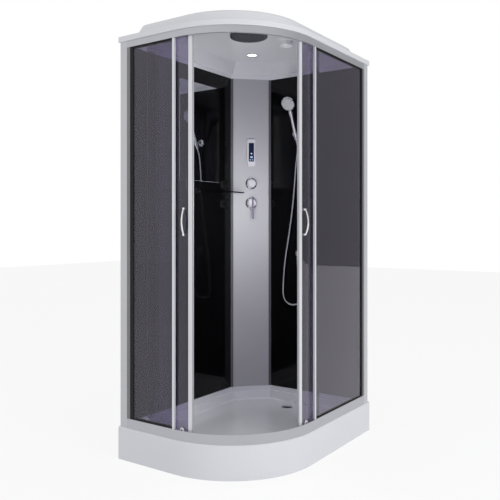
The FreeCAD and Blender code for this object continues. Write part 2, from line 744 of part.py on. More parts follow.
def make_rails():
    """Bottom and top rail: outer wall, roller track and inner guard."""
    face, wall = "rail_inset", "rail_wall"
    track, track_back = "track_inset", "(track_inset + track_width)"
    base = "tray_height"
    back = "(rail_inset + bottom_rail_depth)"
    sweep_rail(
        "bottom_rail",
        [
            (face, base),
            (back, base),
            (back, f"{base} + bottom_guard_height"),
            (f"{back} - {wall}", f"{base} + bottom_guard_height"),
            (f"{back} - {wall}", f"{base} + {wall}"),
            (track_back, f"{base} + {wall}"),
            (track_back, f"{base} + bottom_track_height"),
            (track, f"{base} + bottom_track_height"),
            (track, f"{base} + {wall}"),
            (f"{face} + {wall}", f"{base} + {wall}"),
            (f"{face} + {wall}", RAIL_TOP),
            (face, RAIL_TOP),
        ],
    )
    back = "(rail_inset + top_rail_depth)"
    sweep_rail(
        "top_rail",
        [
            (face, HEAD_RAIL),
            (track_back, HEAD_RAIL),
            (track_back, f"{HEAD_RAIL} + top_track_height"),
            (track, f"{HEAD_RAIL} + top_track_height"),
            (track, f"{HEAD_RAIL} + {wall}"),
            (f"{face} + {wall}", f"{HEAD_RAIL} + {wall}"),
            (f"{face} + {wall}", f"roof_base - {wall}"),
            (f"{back} - {wall}", f"roof_base - {wall}"),
            (f"{back} - {wall}", "roof_base - top_guard_height"),
            (back, "roof_base - top_guard_height"),
            (back, "roof_base"),
            (face, "roof_base"),
        ],
    )


GLASS_TOP = f"({HEAD_RAIL} - gasket_gap)"
GLASS_IN = "fixed_glass_inset"
GLASS_OUT = "(fixed_glass_inset + fixed_glass_thickness)"
CHANNEL_IN = "(fixed_glass_inset - gasket_gap - glass_channel_wall)"
CHANNEL_OUT = "(fixed_glass_inset + fixed_glass_thickness + gasket_gap + glass_channel_wall)"


def along_glass(side, from_end, inset):
    """A plan point at a distance from the tray's end along the left or right pane and an inset."""
    if side == "left":
        return f"{LEFT} + ({from_end})", f"{FRONT} + ({inset})"
    return f"{RIGHT} - ({inset})", f"{BACK} - ({from_end})"


def glass_box(sketch, side, start, finish, inset, inset_back):
    """A rectangle in plan along one of the two fixed panes."""
    x1, y1 = along_glass(side, start, inset)
    x2, y2 = along_glass(side, finish, inset_back)
    box_outline(sketch, x1, y1, x2, y2)


def make_fixed_glass():
    """Each fixed pane, its two upright channels and its dark seals."""
    seals = new_body("glass_gaskets", several=True)
    grip = "glass_grip"
    for side, post, end in (
        ("left", "(left_post_offset + post_width)", "left_pane_end"),
        ("right", "(right_post_offset + post_width)", "right_pane_end"),
    ):
        width, wall = "glass_channel_width", "glass_channel_wall"
        pane = new_body(f"{side}_fixed_glass")
        plan = new_sketch(pane, "XY_Plane", off=f"{RAIL_TOP} - fixed_glass_drop")
        start = f"({post} + {width} - {grip})"
        edge = f"({end} - edge_channel_width)"
        finish = f"({edge} + edge_grip)"
        glass_box(plan, side, start, finish, GLASS_IN, GLASS_OUT)
        pad(pane, plan, f"{GLASS_TOP} - {RAIL_TOP} + fixed_glass_drop")
        channels = new_body(f"{side}_glass_channels", several=True)
        plan = new_sketch(channels, "XY_Plane", off=RAIL_TOP)
        gap = "gasket_gap"
        for near, far, mouth, floor in (
            (post, f"({post} + {width})", f"({post} + {width})", f"({start} - {gap})"),
            (edge, end, edge, f"({finish} + {gap})"),
        ):
            base = near if mouth == far else far
            steps = [
                (base, CHANNEL_IN),
                (mouth, CHANNEL_IN),
                (mouth, f"{CHANNEL_IN} + {wall}"),
                (floor, f"{CHANNEL_IN} + {wall}"),
                (floor, f"{CHANNEL_OUT} - {wall}"),
                (mouth, f"{CHANNEL_OUT} - {wall}"),
                (mouth, CHANNEL_OUT),
                (base, CHANNEL_OUT),
            ]
            trace(plan, [along_glass(side, *step) for step in steps])
        pad(channels, plan, f"{HEAD_RAIL} - {RAIL_TOP}")
        inner_start = f"({post} + {width})"
        upright = new_sketch(seals, "XY_Plane", off=RAIL_TOP)
        glass_box(upright, side, inner_start, f"{inner_start} + gasket_width", GLASS_OUT, CHANNEL_OUT)
        pad(seals, upright, f"{HEAD_RAIL} - {RAIL_TOP}")
        for base in (f"{HEAD_RAIL} - gasket_height", RAIL_TOP):
            strip = new_sketch(seals, "XY_Plane", off=base)
            near = f"({inner_start} + gasket_width)"
            glass_box(strip, side, near, edge, GLASS_OUT, CHANNEL_OUT)
            pad(seals, strip, "gasket_height")


# ---------------------------------------------------------------- doors


def door_body(label, angle, several=False):
    """A body about the centre of the entry's arc, with its X axis turned to an angle round the entry."""
    body = new_body(label, several)
    place(body, ARC_X, ARC_Y, "0", f"({angle}) - 90")
    return body


def arc_angle(width):
    """The angle that a width takes up at the middle of the door glass, in degrees."""
    return f"({width} / ({DOOR_INNER} + door_glass_thickness / 2) * 180 / pi)"


def sector(body, inner, outer, low, high, angle, back, cut=False):
    """An upright curved block about the centre of the entry's arc."""
    profile = new_sketch(body, "XZ_Plane")
    box_outline(profile, inner, low, outer, high)
    return revolve(body, profile, angle=angle, back=back, cut=cut)


def bore(body, swing, heights, radius):
    """Radial holes through curved glass, at an angle from the body's X axis."""
    holes = new_sketch(body, "YZ_Plane", swing=swing)
    for height in heights:
        ring(holes, radius, "0", height)
    pocket(body, holes, f"{DOOR_OUTER} + 5", up=True)


def radial(body, swing, height, steps, cut=False):
    """Turns a profile about a radius of the entry; a step is (distance from the centre, radius)."""
    profile = new_sketch(body, "XZ_Plane", lift=height, swing=swing)
    trace(profile, steps)
    return revolve(body, profile, axis="H_Axis", cut=cut)


def make_door(side, rest, hand):
    """One curved door; its glass trails towards larger angles when hand is 1 and smaller ones when -1."""
    trailing = hand > 0
    leading = not trailing
    nose = arc_angle("(door_profile_width + magnet_width)")
    grip, magnet, fin = arc_angle("10"), arc_angle("magnet_width"), arc_angle("fin_width")
    play = "gasket_gap"
    feet = ("handle_height - handle_length / 2", "handle_height + handle_length / 2")
    axles = (LOWER_AXLE, UPPER_AXLE)

    start = f"({nose} - {grip})"
    glass = door_body(f"{side}_door_glass", f"{rest} + {hand} * {start}")
    span = f"(door_angle - {start} - {fin})"
    sector(glass, DOOR_INNER, DOOR_OUTER, "door_bottom", DOOR_TOP, span, leading)
    for lag, heights in (("handle_lead", feet), ("roller_lead", axles), ("roller_trail", axles)):
        bore(glass, f"{hand} * ({lag} - {start})", heights, "glass_hole_radius")

    profile = door_body(f"{side}_door_profile", f"{rest} + {hand} * {nose}")
    half = "((door_profile_depth - door_glass_thickness) / 2)"
    inner, outer = f"{DOOR_INNER} - {half}", f"{DOOR_OUTER} + {half}"
    width = arc_angle("door_profile_width")
    sector(profile, inner, outer, "door_bottom", DOOR_TOP, width, trailing)
    slot = f"({grip} + {arc_angle(play)})"
    inner, outer = f"{DOOR_INNER} - {play}", f"{DOOR_OUTER} + {play}"
    sector(profile, inner, outer, "door_bottom", DOOR_TOP, slot, trailing, cut=True)

    seals = door_body(f"{side}_door_seals", f"{rest} + {hand} * {magnet}", several=True)
    sector(seals, f"{DOOR_INNER} - 2", f"{DOOR_OUTER} + 2", "door_bottom", DOOR_TOP, magnet, trailing)
    tail = new_sketch(seals, "XZ_Plane", swing=f"{hand} * (door_angle - {magnet} - {fin})")
    box_outline(tail, f"{DOOR_INNER} - 1", "door_bottom", f"{DOOR_OUTER} + 1", DOOR_TOP)
    revolve(seals, tail, angle=fin, back=leading)

    handle = door_body(f"{side}_door_handle", f"{rest} + {hand} * handle_lead")
    sagitta = "(handle_rise - handle_bar - handle_bar - 2)"
    bend = f"((handle_length ^ 2 / 4 + {sagitta} ^ 2) / (2 * {sagitta}))"
    crown = f"({DOOR_OUTER} + handle_rise - handle_bar)"
    bow = new_sketch(handle, "XY_Plane", off="handle_height", shift=f"{crown} - {bend}")
    ring(bow, "handle_bar", bend, "0")
    revolve(handle, bow, angle=f"2 * asin(handle_length / 2 / {bend})", middle=True)
    foot, cap = "handle_foot_radius", "handle_foot_radius + 0.5"
    for height in feet:
        radial(
            handle,
            None,
            height,
            [
                (f"{DOOR_INNER} - 6", "0"),
                (f"{DOOR_INNER} - 6", f"{cap} - 2"),
                (f"{DOOR_INNER} - 4", cap),
                (f"{DOOR_INNER} - {play}", cap),
                (f"{DOOR_INNER} - {play}", "glass_hole_radius - 1"),
                (DOOR_OUTER, "glass_hole_radius - 1"),
                (DOOR_OUTER, foot),
                (f"{DOOR_OUTER} + 4", foot),
                (f"{DOOR_OUTER} + 10", f"{foot} - 1.5"),
                (f"{DOOR_OUTER} + 10", "0"),
            ],
        )

    carriers = door_body(f"{side}_door_carriers", f"{rest} + {hand} * roller_lead", several=True)
    face = f"({TRACK_RADIUS} + roller_width / 2)"
    gap = "face_gap"
    for swing in (None, f"{hand} * (roller_trail - roller_lead)"):
        for height in axles:
            radial(
                carriers,
                swing,
                height,
                [
                    (f"{DOOR_INNER} - roller_knob_height", "0"),
                    (f"{DOOR_INNER} - roller_knob_height", "roller_knob_radius - 2.5"),
                    (f"{DOOR_INNER} - roller_knob_height + 2.5", "roller_knob_radius"),
                    (f"{DOOR_INNER} - {play}", "roller_knob_radius"),
                    (f"{DOOR_INNER} - {play}", "glass_hole_radius - 1"),
                    (DOOR_OUTER, "glass_hole_radius - 1"),
                    (DOOR_OUTER, "6"),
                    (f"{face} - roller_width - {gap}", "6"),
                    (f"{face} - roller_width - {gap}", "axle_radius"),
                    (f"{face} - 1.5", "axle_radius"),
                    (f"{face} - 1.5", "axle_radius + 2"),
                    (f"{face} - 0.2", "axle_radius + 2"),
                    (f"{face} - 0.2", "0"),
                ],
            )

    for place_name, lag in (("leading", "roller_lead"), ("trailing", "roller_trail")):
        for level_name, height in (("bottom", LOWER_AXLE), ("top", UPPER_AXLE)):
            label = f"{side}_{level_name}_{place_name}_roller"
            wheel = door_body(label, f"{rest} + {hand} * {lag}")
            flange = f"{face} - roller_width + roller_flange"
            radial(
                wheel,
                None,
                height,
                [
                    (f"{face} - roller_width", "axle_radius + running_gap"),
                    (f"{face} - roller_width", "roller_radius"),
                    (flange, "roller_radius"),
                    (flange, "roller_tread"),
                    (face, "roller_tread"),
                    (face, "axle_radius + 3"),
                    (f"{face} - 1.8", "axle_radius + 3"),
                    (f"{face} - 1.8", "axle_radius + running_gap"),
                ],
            )


# ---------------------------------------------------------------- roof


def make_roof():
    """Roof shell: outer band, inward seat, and a dome with a soft shoulder and a low crown."""
    body = new_body("roof")
    skin = "roof_skin"
    flange_top = "(roof_base + roof_flange_height)"
    shoulder_top = f"({flange_top} + dome_shoulder)"
    crown = f"(overall_height - {shoulder_top})"
    band = new_sketch(body, "XY_Plane", off="roof_base")
    trace(band, cabin_outline())
    pad(body, band, "roof_flange_height")
    dome = new_sketch(body, "XY_Plane", off=flange_top)
    trace(dome, cabin_outline("dome_inset"))
    pad(body, dome, "dome_shoulder", taper="-atan(dome_shoulder_inset / dome_shoulder)")
    cap = new_sketch(body, "XY_Plane", off=shoulder_top)
    trace(cap, cabin_outline("(dome_inset + dome_shoulder_inset)"))
    pad(body, cap, crown, taper=f"-atan(dome_crown_inset / {crown})")
    lower = new_sketch(body, "XY_Plane", off="roof_base")
    trace(lower, cabin_outline(skin))
    pocket(body, lower, f"roof_flange_height - {skin}", up=True)
    hollow = new_sketch(body, "XY_Plane", off=f"{flange_top} - {skin}")
    trace(hollow, cabin_outline(f"(dome_inset + {skin})"))
    rise = f"dome_shoulder"
    pocket(body, hollow, rise, taper="-atan(dome_shoulder_inset / dome_shoulder)", up=True)
    vault = new_sketch(body, "XY_Plane", off=f"{shoulder_top} - {skin}")
    trace(vault, cabin_outline(f"(dome_inset + dome_shoulder_inset + {skin})"))
    pocket(body, vault, crown, taper=f"-atan(dome_crown_inset / {crown})", up=True)
    seat = new_sketch(body, "XY_Plane", off="roof_base")
    trace(seat, cabin_outline(f"({skin} / 2)"))
    trace(seat, room_outline("roof_seat_width", "(1 + roof_lip_thickness)"))
    pad(body, seat, skin)
    lip = new_sketch(body, "XY_Plane", off="roof_base - roof_lip")
    front_end, side_end = f"{FRONT} + post_depth + 12", f"{RIGHT} - post_depth - 12"
    edges = []
    for margin in ("1", "(1 + roof_lip_thickness)"):
        edge = [
            (f"{WALL_X} + {margin}", front_end),
            (f"{WALL_X} + {margin}", f"{COLUMN_Y} - {margin} * {SLANT}"),
            (f"{COLUMN_X} + {margin} * {SLANT}", f"{WALL_Y} - {margin}"),
            (side_end, f"{WALL_Y} - {margin}"),
        ]
        edges += edge if not edges else edge[::-1]
    trace(lip, edges)
    pad(body, lip, f"roof_lip + {skin}")
    riser = new_sketch(body, "XY_Plane", off="roof_base")
    ring(riser, "pipe_radius + 3", RISER_X, RISER_Y)
    pocket(body, riser, skin, up=True)
    shoulder, top = value(shoulder_top), value("overall_height")
    flange = value(flange_top)
    soften(body, lambda edge: level(edge, shoulder), "dome_shoulder_radius")
    soften(body, lambda edge: level(edge, flange) and on_outline(edge), "roof_edge_radius")
    return shoulder, top


def on_outline(edge):
    """Whether an edge lies on the cabin's outer outline."""
    box = edge.BoundBox
    low_side = box.YMin < value(FRONT) + 1 or box.XMin < value(LEFT) + 1
    return low_side or box.XMax > value(RIGHT) - 1 or box.YMax > value(BACK) - 1


def make_ceiling():
    """Moulded inner ceiling that rests on the roof's seat, with openings for shower, light and vent."""
    body = new_body("ceiling_panel")
    skin = "ceiling_skin"
    base = "(roof_base + roof_skin)"
    rise = f"(ceiling_height - {base})"
    rim = new_sketch(body, "XY_Plane", off=base)
    trace(rim, room_outline("(roof_seat_width - 14)", "-8"))
    pad(body, rim, skin)
    outer = new_sketch(body, "XY_Plane", off=base)
    trace(outer, room_outline("ceiling_front_inset", "ceiling_wall_margin"))
    pad(body, outer, f"{rise} + {skin}", taper="-ceiling_taper")
    inner = new_sketch(body, "XY_Plane", off=base)
    trace(inner, room_outline(f"(ceiling_front_inset + {skin})", f"(ceiling_wall_margin + {skin})"))
    pocket(body, inner, rise, taper="-ceiling_taper", up=True)
    holes = new_sketch(body, "XY_Plane", off="ceiling_height")
    ring(holes, "rain_neck_radius + 1", "rain_x", "rain_y")
    ring(holes, "light_radius - 6", "light_x", "light_y")
    ring(holes, "vent_radius - 10", "vent_x", "vent_y")
    pocket(body, holes, skin, up=True)


def turned(label, x, y, z, steps):
    """A body turned about an upright axis; a step is (radius, height)."""
    body = new_body(label)
    place(body, x, y, z)
    profile = new_sketch(body, "XZ_Plane")
    trace(profile, steps)
    revolve(body, profile)
    return body


def make_ceiling_fittings():
    """Rain shower, light and air outlet."""
    neck = "rain_neck_radius"
    gap = "face_gap"
    rain = turned(
        "rain_head",
        "rain_x",
        "rain_y",
        "ceiling_height",
        [
            ("0", "-12"),
            ("rain_radius - 2", "-12"),
            ("rain_radius", "-10"),
            ("rain_radius", "-7"),
            ("rain_radius - 3", "-5"),
            ("30", "-1"),
            (neck, "-1"),
            (neck, "ceiling_skin + 4"),
            ("0", "ceiling_skin + 4"),
        ],
    )
    face = new_sketch(rain, "XY_Plane", off="-12")
    pitch = "(rain_radius / 5)"
    for number, count in enumerate((8, 14, 20, 26), start=1):
        for step in range(count):
            angle = 360 / count * step
            ring(
                face,
                "2",
                f"{pitch} * {number} * cos({angle})",
                f"{pitch} * {number} * sin({angle})",
            )
    pad(rain, face, "1.5", down=True)
    turned(
        "light_bezel",
        "light_x",
        "light_y",
        "ceiling_height",
        [
            ("light_radius - 8", "0"),
            ("light_radius - 8", "-3"),
            ("light_radius - 4", "-6"),
            ("light_radius - 1", "-5"),
            ("light_radius", "-2"),
            ("light_radius", "0"),
        ],
    )
    turned(
        "light_lens",
        "light_x",
        "light_y",
        "ceiling_height",
        [
            ("0", "-5"),
            ("light_radius - 11", "-4"),
            (f"light_radius - 8 - {gap}", "-2"),
            (f"light_radius - 8 - {gap}", "8"),
            ("0", "8"),
        ],
    )
    vent = turned(
        "vent_cover",
        "vent_x",
        "vent_y",
        "ceiling_height",
        [
            ("0", "-vent_depth"),
            ("vent_radius - 6", "-vent_depth"),
            ("vent_radius - 2", "3 - vent_depth"),
            ("vent_radius", "-3"),
            ("vent_radius", "0"),
            ("vent_radius - 11", "0"),
            ("vent_radius - 11", "ceiling_skin + 4"),
            ("vent_radius - 13", "ceiling_skin + 4"),
            ("vent_radius - 13", "3 - vent_depth"),
            ("0", "3 - vent_depth"),
        ],
    )
    slots = new_sketch(vent, "XY_Plane", off="-vent_depth")
    for number in range(-2, 3):
        y = f"({number} * 7)"
        reach = f"sqrt((vent_radius - 15) ^ 2 - {y} ^ 2)"
        box_outline(slots, f"-{reach}", f"{y} - 1.5", reach, f"{y} + 1.5")
    pocket(vent, slots, "3", up=True)


# ---------------------------------------------------------------- fittings on the walls


def make_mirror_and_shelf():
    """Mirror, glass shelf and the chrome posts that hold the shelf."""
    mirror = new_body("mirror")
    place(mirror, WALL_X, "mirror_y", "mirror_base", "90")
    face = new_sketch(mirror, "XZ_Plane")
    box_outline(face, "-mirror_width / 2", "0", "mirror_width / 2", "mirror_height")
    pad(mirror, face, "mirror_thickness")
    depth = value("mirror_thickness")
    soften(mirror, lambda edge: abs(edge.BoundBox.YMax + depth) < 0.01, "1.5", kind="Chamfer")

    shelf = new_body("shelf_glass")
    plan = new_sketch(shelf, "XY_Plane", off="shelf_height")
    corner, front = "shelf_corner", f"({WALL_X} + shelf_depth)"
    high = f"({COLUMN_Y} - 1)"
    trace(
        plan,
        [
            (WALL_X, "shelf_end"),
            (f"{front} - {corner}", "shelf_end"),
            (front, f"shelf_end + {corner}", corner, 1),
            (front, f"{high} - {corner}"),
            (f"{front} - {corner}", high, corner, 1),
            (WALL_X, high),
        ],
    )
    pad(shelf, plan, "shelf_thickness")

    posts = new_body("shelf_brackets", several=True)
    middle = "(shelf_height + shelf_thickness / 2)"
    grip, radius = "bracket_grip", "bracket_radius"
    slot = "(shelf_thickness / 2 + gasket_gap)"
    for y in ("(shelf_end + 42)", "((shelf_end + column_leg) / 2)", f"({COLUMN_Y} - 43)"):
        post = new_sketch(posts, "YZ_Plane", off=WALL_X)
        for side in ("", "-"):
            half_disc(post, y, middle, radius, slot, side == "")
        pad(posts, post, grip)
    rod = new_sketch(posts, "XY_Plane", off=f"{middle} + {slot}")
    ring(rod, "3", f"{WALL_X} + 12", "shelf_end + 42")
    pad(posts, rod, f"mirror_base - {middle} - {slot}")


def half_disc(sketch, x, y, radius, gap, upper):
    """The part of a disc above or below a slot through its middle."""
    edge = f"sqrt(({radius}) ^ 2 - ({gap}) ^ 2)"
    sign = "+" if upper else "-"
    chord = f"{y} {sign} {gap}"
    first, last = (f"{x} - {edge}", f"{x} + {edge}")
    if not upper:
        first, last = last, first
    trace(
        sketch,
        [
            (first, chord, radius, 1),
            (last, chord),
            (x, f"{y} {sign} {radius}", radius, 1),
        ],
    )


def make_panel():
    """Control panel on the column: a bezel with a window, and the display in it."""
    bezel = on_column("control_bezel", height="panel_base")
    face = new_sketch(bezel, "XZ_Plane")
    half = "(panel_width / 2)"
    top = "panel_height"
    corner = "9"
    rounded(face, f"-{half}", "0", half, top, corner)
    pad(bezel, face, "panel_depth")
    depth = value("panel_depth")
    soften(bezel, lambda edge: abs(edge.BoundBox.YMax + depth) < 0.01, "3")
    window = new_sketch(bezel, "XZ_Plane", off="panel_depth")
    wide = "(display_width / 2)"
    rounded(window, f"-{wide}", "display_base", wide, "display_base + display_height", "4")
    pocket(bezel, window, "2.5")
    display = on_column("control_display", height="panel_base")
    glass = new_sketch(display, "XZ_Plane", off="panel_depth - 2.5")
    gap = "gasket_gap"
    rounded(
        glass,
        f"-{wide} + {gap}",
        f"display_base + {gap}",
        f"{wide} - {gap}",
        f"display_base + display_height - {gap}",
        f"(4 - {gap})",
    )
    pad(display, glass, "2")


def rounded(sketch, x1, y1, x2, y2, radius):
    """A rectangle with round corners."""
    trace(
        sketch,
        [
            (f"{x1} + {radius}", y1, radius, 1),
            (f"{x2} - {radius}", y1),
            (x2, f"{y1} + {radius}", radius, 1),
            (x2, f"{y2} - {radius}"),
            (f"{x2} - {radius}", y2, radius, 1),
            (f"{x1} + {radius}", y2),
            (x1, f"{y2} - {radius}", radius, 1),
            (x1, f"{y1} + {radius}"),
        ],
    )


VALVE_DEPTH = "valve_back"
RISER_X = f"({FACE_X} - {VALVE_DEPTH} / sqrt(2))"
RISER_Y = f"({FACE_Y} + {VALVE_DEPTH} / sqrt(2))"


def out_of_column(body, height, steps, cut=False):
    """Turns a profile about an axis out of the column's face; a step is (radius, distance in front of it)."""
    profile = new_sketch(body, "YZ_Plane", lift=height)
    trace(profile, [(f"-({distance})", radius) for radius, distance in steps])
    return revolve(body, profile, axis="H_Axis", cut=cut)


def make_valves():
    """Wall plates, the diverter knob, and the mixer with its lever."""
    plates = on_column("valve_escutcheons", several=True)
    spindle = "(spindle_radius + running_gap)"
    thick = "plate_thickness"
    for height in ("knob_height", "mixer_height"):
        out_of_column(
            plates,
            height,
            [
                (spindle, "0"),
                ("plate_radius", "0"),
                ("plate_radius", f"{thick} - 5"),
                ("plate_radius - 4", f"{thick} - 1.5"),
                ("plate_radius - 7", thick),
                (spindle, thick),
            ],
        )

    knob = on_column("diverter_knob")
    back = "(plate_thickness + face_gap)"
    front = f"({back} + knob_depth)"
    out_of_column(
        knob,
        "knob_height",
        [
            (spindle, back),
            ("knob_radius", back),
            ("knob_radius", f"{front} - 5"),
            ("knob_radius - 5", front),
            ("0", front),
            ("0", f"{front} - 8"),
            (spindle, f"{front} - 8"),
        ],
    )
    flutes = new_sketch(knob, "XZ_Plane", off=front, lift="knob_height")
    for number in range(int(value("knob_lobes"))):
        angle = f"({number} * 360 / knob_lobes + 30)"
        ring(flutes, "7", f"(knob_radius + 4.2) * cos({angle})", f"(knob_radius + 4.2) * sin({angle})")
    pocket(knob, flutes, "knob_depth - 5")

    mixer = on_column("mixer_body")
    front = f"({back} + mixer_depth)"
    out_of_column(
        mixer,
        "mixer_height",
        [
            (spindle, back),
            ("mixer_radius", back),
            ("mixer_radius", f"{front} - 4"),
            ("mixer_radius - 4", front),
            ("0", front),
            ("0", f"{back} + 10"),
            (spindle, f"{back} + 10"),
        ],
    )
    slot = new_sketch(mixer, "XZ_Plane", off=front, lift="mixer_height")
    half = "(lever_width / 2 + face_gap)"
    box_outline(slot, f"-{half}", "-mixer_radius - 1", half, "mixer_radius + 1")
    pocket(mixer, slot, "lever_slot")
    axle = f"({front} - lever_slot / 2)"
    pin = new_sketch(mixer, "YZ_Plane", lift="mixer_height")
    ring(pin, "3", f"-{axle}", "0")
    pad(mixer, pin, "mixer_radius + 12", middle=True)

    lever = on_column("mixer_lever")
    side = new_sketch(lever, "YZ_Plane", lift="mixer_height")
    outside = f"({front} + 9)"
    lever_outline(side, axle, front, outside)
    pad(lever, side, "lever_width", middle=True)
    eye = new_sketch(lever, "YZ_Plane", lift="mixer_height", off="-lever_width")
    ring(eye, "3 + running_gap", f"-{axle}", "0")
    pocket(lever, eye, "2 * lever_width", up=True)


def lever_outline(sketch, axle, front, outside):
    """Side of the lever: an eye on its pin and a blade that reaches down in front of the mixer."""
    trace(
        sketch,
        [
            (f"-{axle}", "6.5"),
            (f"-{axle} + 6.5", "0", "6.5", -1),
            (f"-{axle}", "-6.5", "6.5", -1),
            (f"-{front} - 1", "-12"),
            (f"-{outside} + 3", "-lever_reach"),
            (f"-{outside} - 3", "-lever_reach"),
            (f"-{outside} - 1", "20"),
            (f"-{outside} + 2", "34"),
            (f"-{front} - 1", "32"),
            (f"-{front} - 1", "10"),
        ],
    )


def make_valve_body():
    """Brass body behind the column, with spindles for the two controls and tails for hot and cold."""
    body = on_column("valve_body")
    block = new_sketch(body, "XY_Plane", off="mixer_height - 30")
    depth = VALVE_DEPTH
    box_outline(block, "-16", f"{depth} - 16", "16", f"{depth} + 16")
    pad(body, block, "knob_height - mixer_height + 60")
    bar = new_sketch(body, "XY_Plane", off="mixer_height - 30")
    reach = "(inlet_spacing / 2 + 16)"
    box_outline(bar, f"-{reach}", f"{depth} - 14", reach, f"{depth} + 14")
    pad(body, bar, "26")
    tails = new_sketch(body, "XZ_Plane", lift="mixer_height - 17", off=f"-{depth} - 14")
    for x in ("-inlet_spacing / 2", "inlet_spacing / 2"):
        ring(tails, "inlet_radius", x, "0")
    pad(body, tails, "inlet_length", down=True)
    bores = new_sketch(body, "XZ_Plane", lift="mixer_height - 17", off=f"-{depth} - 15 - inlet_length")
    for x in ("-inlet_spacing / 2", "inlet_spacing / 2"):
        ring(bores, "inlet_radius - 3", x, "0")
    pocket(body, bores, "inlet_length + 12", up=True)
    ends = {"knob_height": "(plate_thickness + knob_depth - 9)", "mixer_height": "(plate_thickness + 9)"}
    for height, end in ends.items():
        boss = new_sketch(body, "XZ_Plane", lift=height, off="-column_skin - 1")
        ring(boss, "spindle_radius + 5")
        pad(body, boss, f"{depth} - 20", down=True)
        spindle = new_sketch(body, "XZ_Plane", lift=height, off=end)
        ring(spindle, "spindle_radius")
        pad(body, spindle, f"{end} + {depth} - 10", down=True)


def make_pipes():
    """Supply pipes behind the walls: one up to the rain shower, one down to the hose outlet."""
    body = on_column("supply_pipes", several=True)
    depth, radius = VALVE_DEPTH, "pipe_radius"
    run = f"sqrt((rain_x - {RISER_X}) ^ 2 + (rain_y - {RISER_Y}) ^ 2)"
    heading = f"(atan2(rain_y - {RISER_Y}; rain_x - {RISER_X}) - 45 deg)"
    top = "(ceiling_height + ceiling_skin + 4 + rain_bend)"
    valve_top = "(knob_height + 30)"
    rise = new_sketch(body, "XZ_Plane", off=f"-{depth}", swing=heading)
    trace(
        rise,
        [
            ("0", valve_top),
            ("0", f"{top} - pipe_bend"),
            ("pipe_bend", top, "pipe_bend", -1),
            (f"{run} - rain_bend", top),
            (run, f"{top} - rain_bend", "rain_bend", -1),
        ],
        closed=False,
    )
    profile = new_sketch(body, "XY_Plane", off=valve_top)
    ring(profile, radius, "0", depth)
    doc.recompute()
    pipe(body, profile, rise)

    side = "(pipe_side * sqrt(2))"
    level_height = "knob_height"
    drop = new_sketch(body, "XZ_Plane", off=f"-{depth}")
    trace(
        drop,
        [
            ("16", level_height),
            (f"{side} - pipe_bend", level_height),
            (side, f"{level_height} - pipe_bend", "pipe_bend", -1),
            (side, f"{level_height} - pipe_bend - 40"),
        ],
        closed=False,
    )
    profile = new_sketch(body, "YZ_Plane", off="16")
    ring(profile, radius, depth, level_height)
    doc.recompute()
    pipe(body, profile, drop)
    # Behind the short wall the pipe turns to run along X; the column's frame is turned back by 45 degrees.
    low = "outlet_height"
    across = new_sketch(body, "XZ_Plane", off=f"-{depth}", shift=side, swing="-45")
    start = f"({level_height} - pipe_bend - 40)"
    reach = f"(outlet_x - {RISER_X} - {side} / sqrt(2))"
    trace(
        across,
        [
            ("0", start),
            ("0", f"{low} + pipe_bend"),
            ("pipe_bend", low, "pipe_bend", 1),
            (f"{reach} - pipe_radius - 3", low),
        ],
        closed=False,
    )
    profile = new_sketch(body, "XY_Plane", off=start)
    ring(profile, radius, side, depth)
    doc.recompute()
    pipe(body, profile, across)


# ---------------------------------------------------------------- hand shower and hose


def at_holder(label, several=False):
    """A body whose origin is the pivot of the shower holder; -Y points into the room."""
    body = new_body(label, several)
    place(body, "holder_x", f"{WALL_Y} - holder_reach", "holder_height")
    return body


def along_handle(body, steps, angle="360", off="0"):
    """Turns a profile about the middle line of the leaning handle; a step is (radius, height over the pivot)."""
    profile = new_sketch(
        body,
        "YZ_Plane",
        off=off,
        shift="-handset_offset * cos(handset_lean)",
        lift="-handset_offset * sin(handset_lean)",
        roll="handset_lean",
    )
    trace(profile, [(f"-({radius})", height) for radius, height in steps])
    return revolve(body, profile, angle=angle, middle=True)


HEAD_OVER_PIVOT = "(handset_length - handset_below)"
HEAD_Y = f"(-handset_offset * cos(handset_lean) - {HEAD_OVER_PIVOT} * sin(handset_lean))"
HEAD_Z = f"(-handset_offset * sin(handset_lean) + {HEAD_OVER_PIVOT} * cos(handset_lean))"


def about_head(body, steps):
    """Turns a profile about the line through the spray head; a step is (distance behind its face, radius)."""
    profile = new_sketch(body, "YZ_Plane", shift=HEAD_Y, lift=HEAD_Z, roll="handset_lean + head_tilt")
    trace(profile, steps)
    return revolve(body, profile, axis="H_Axis")


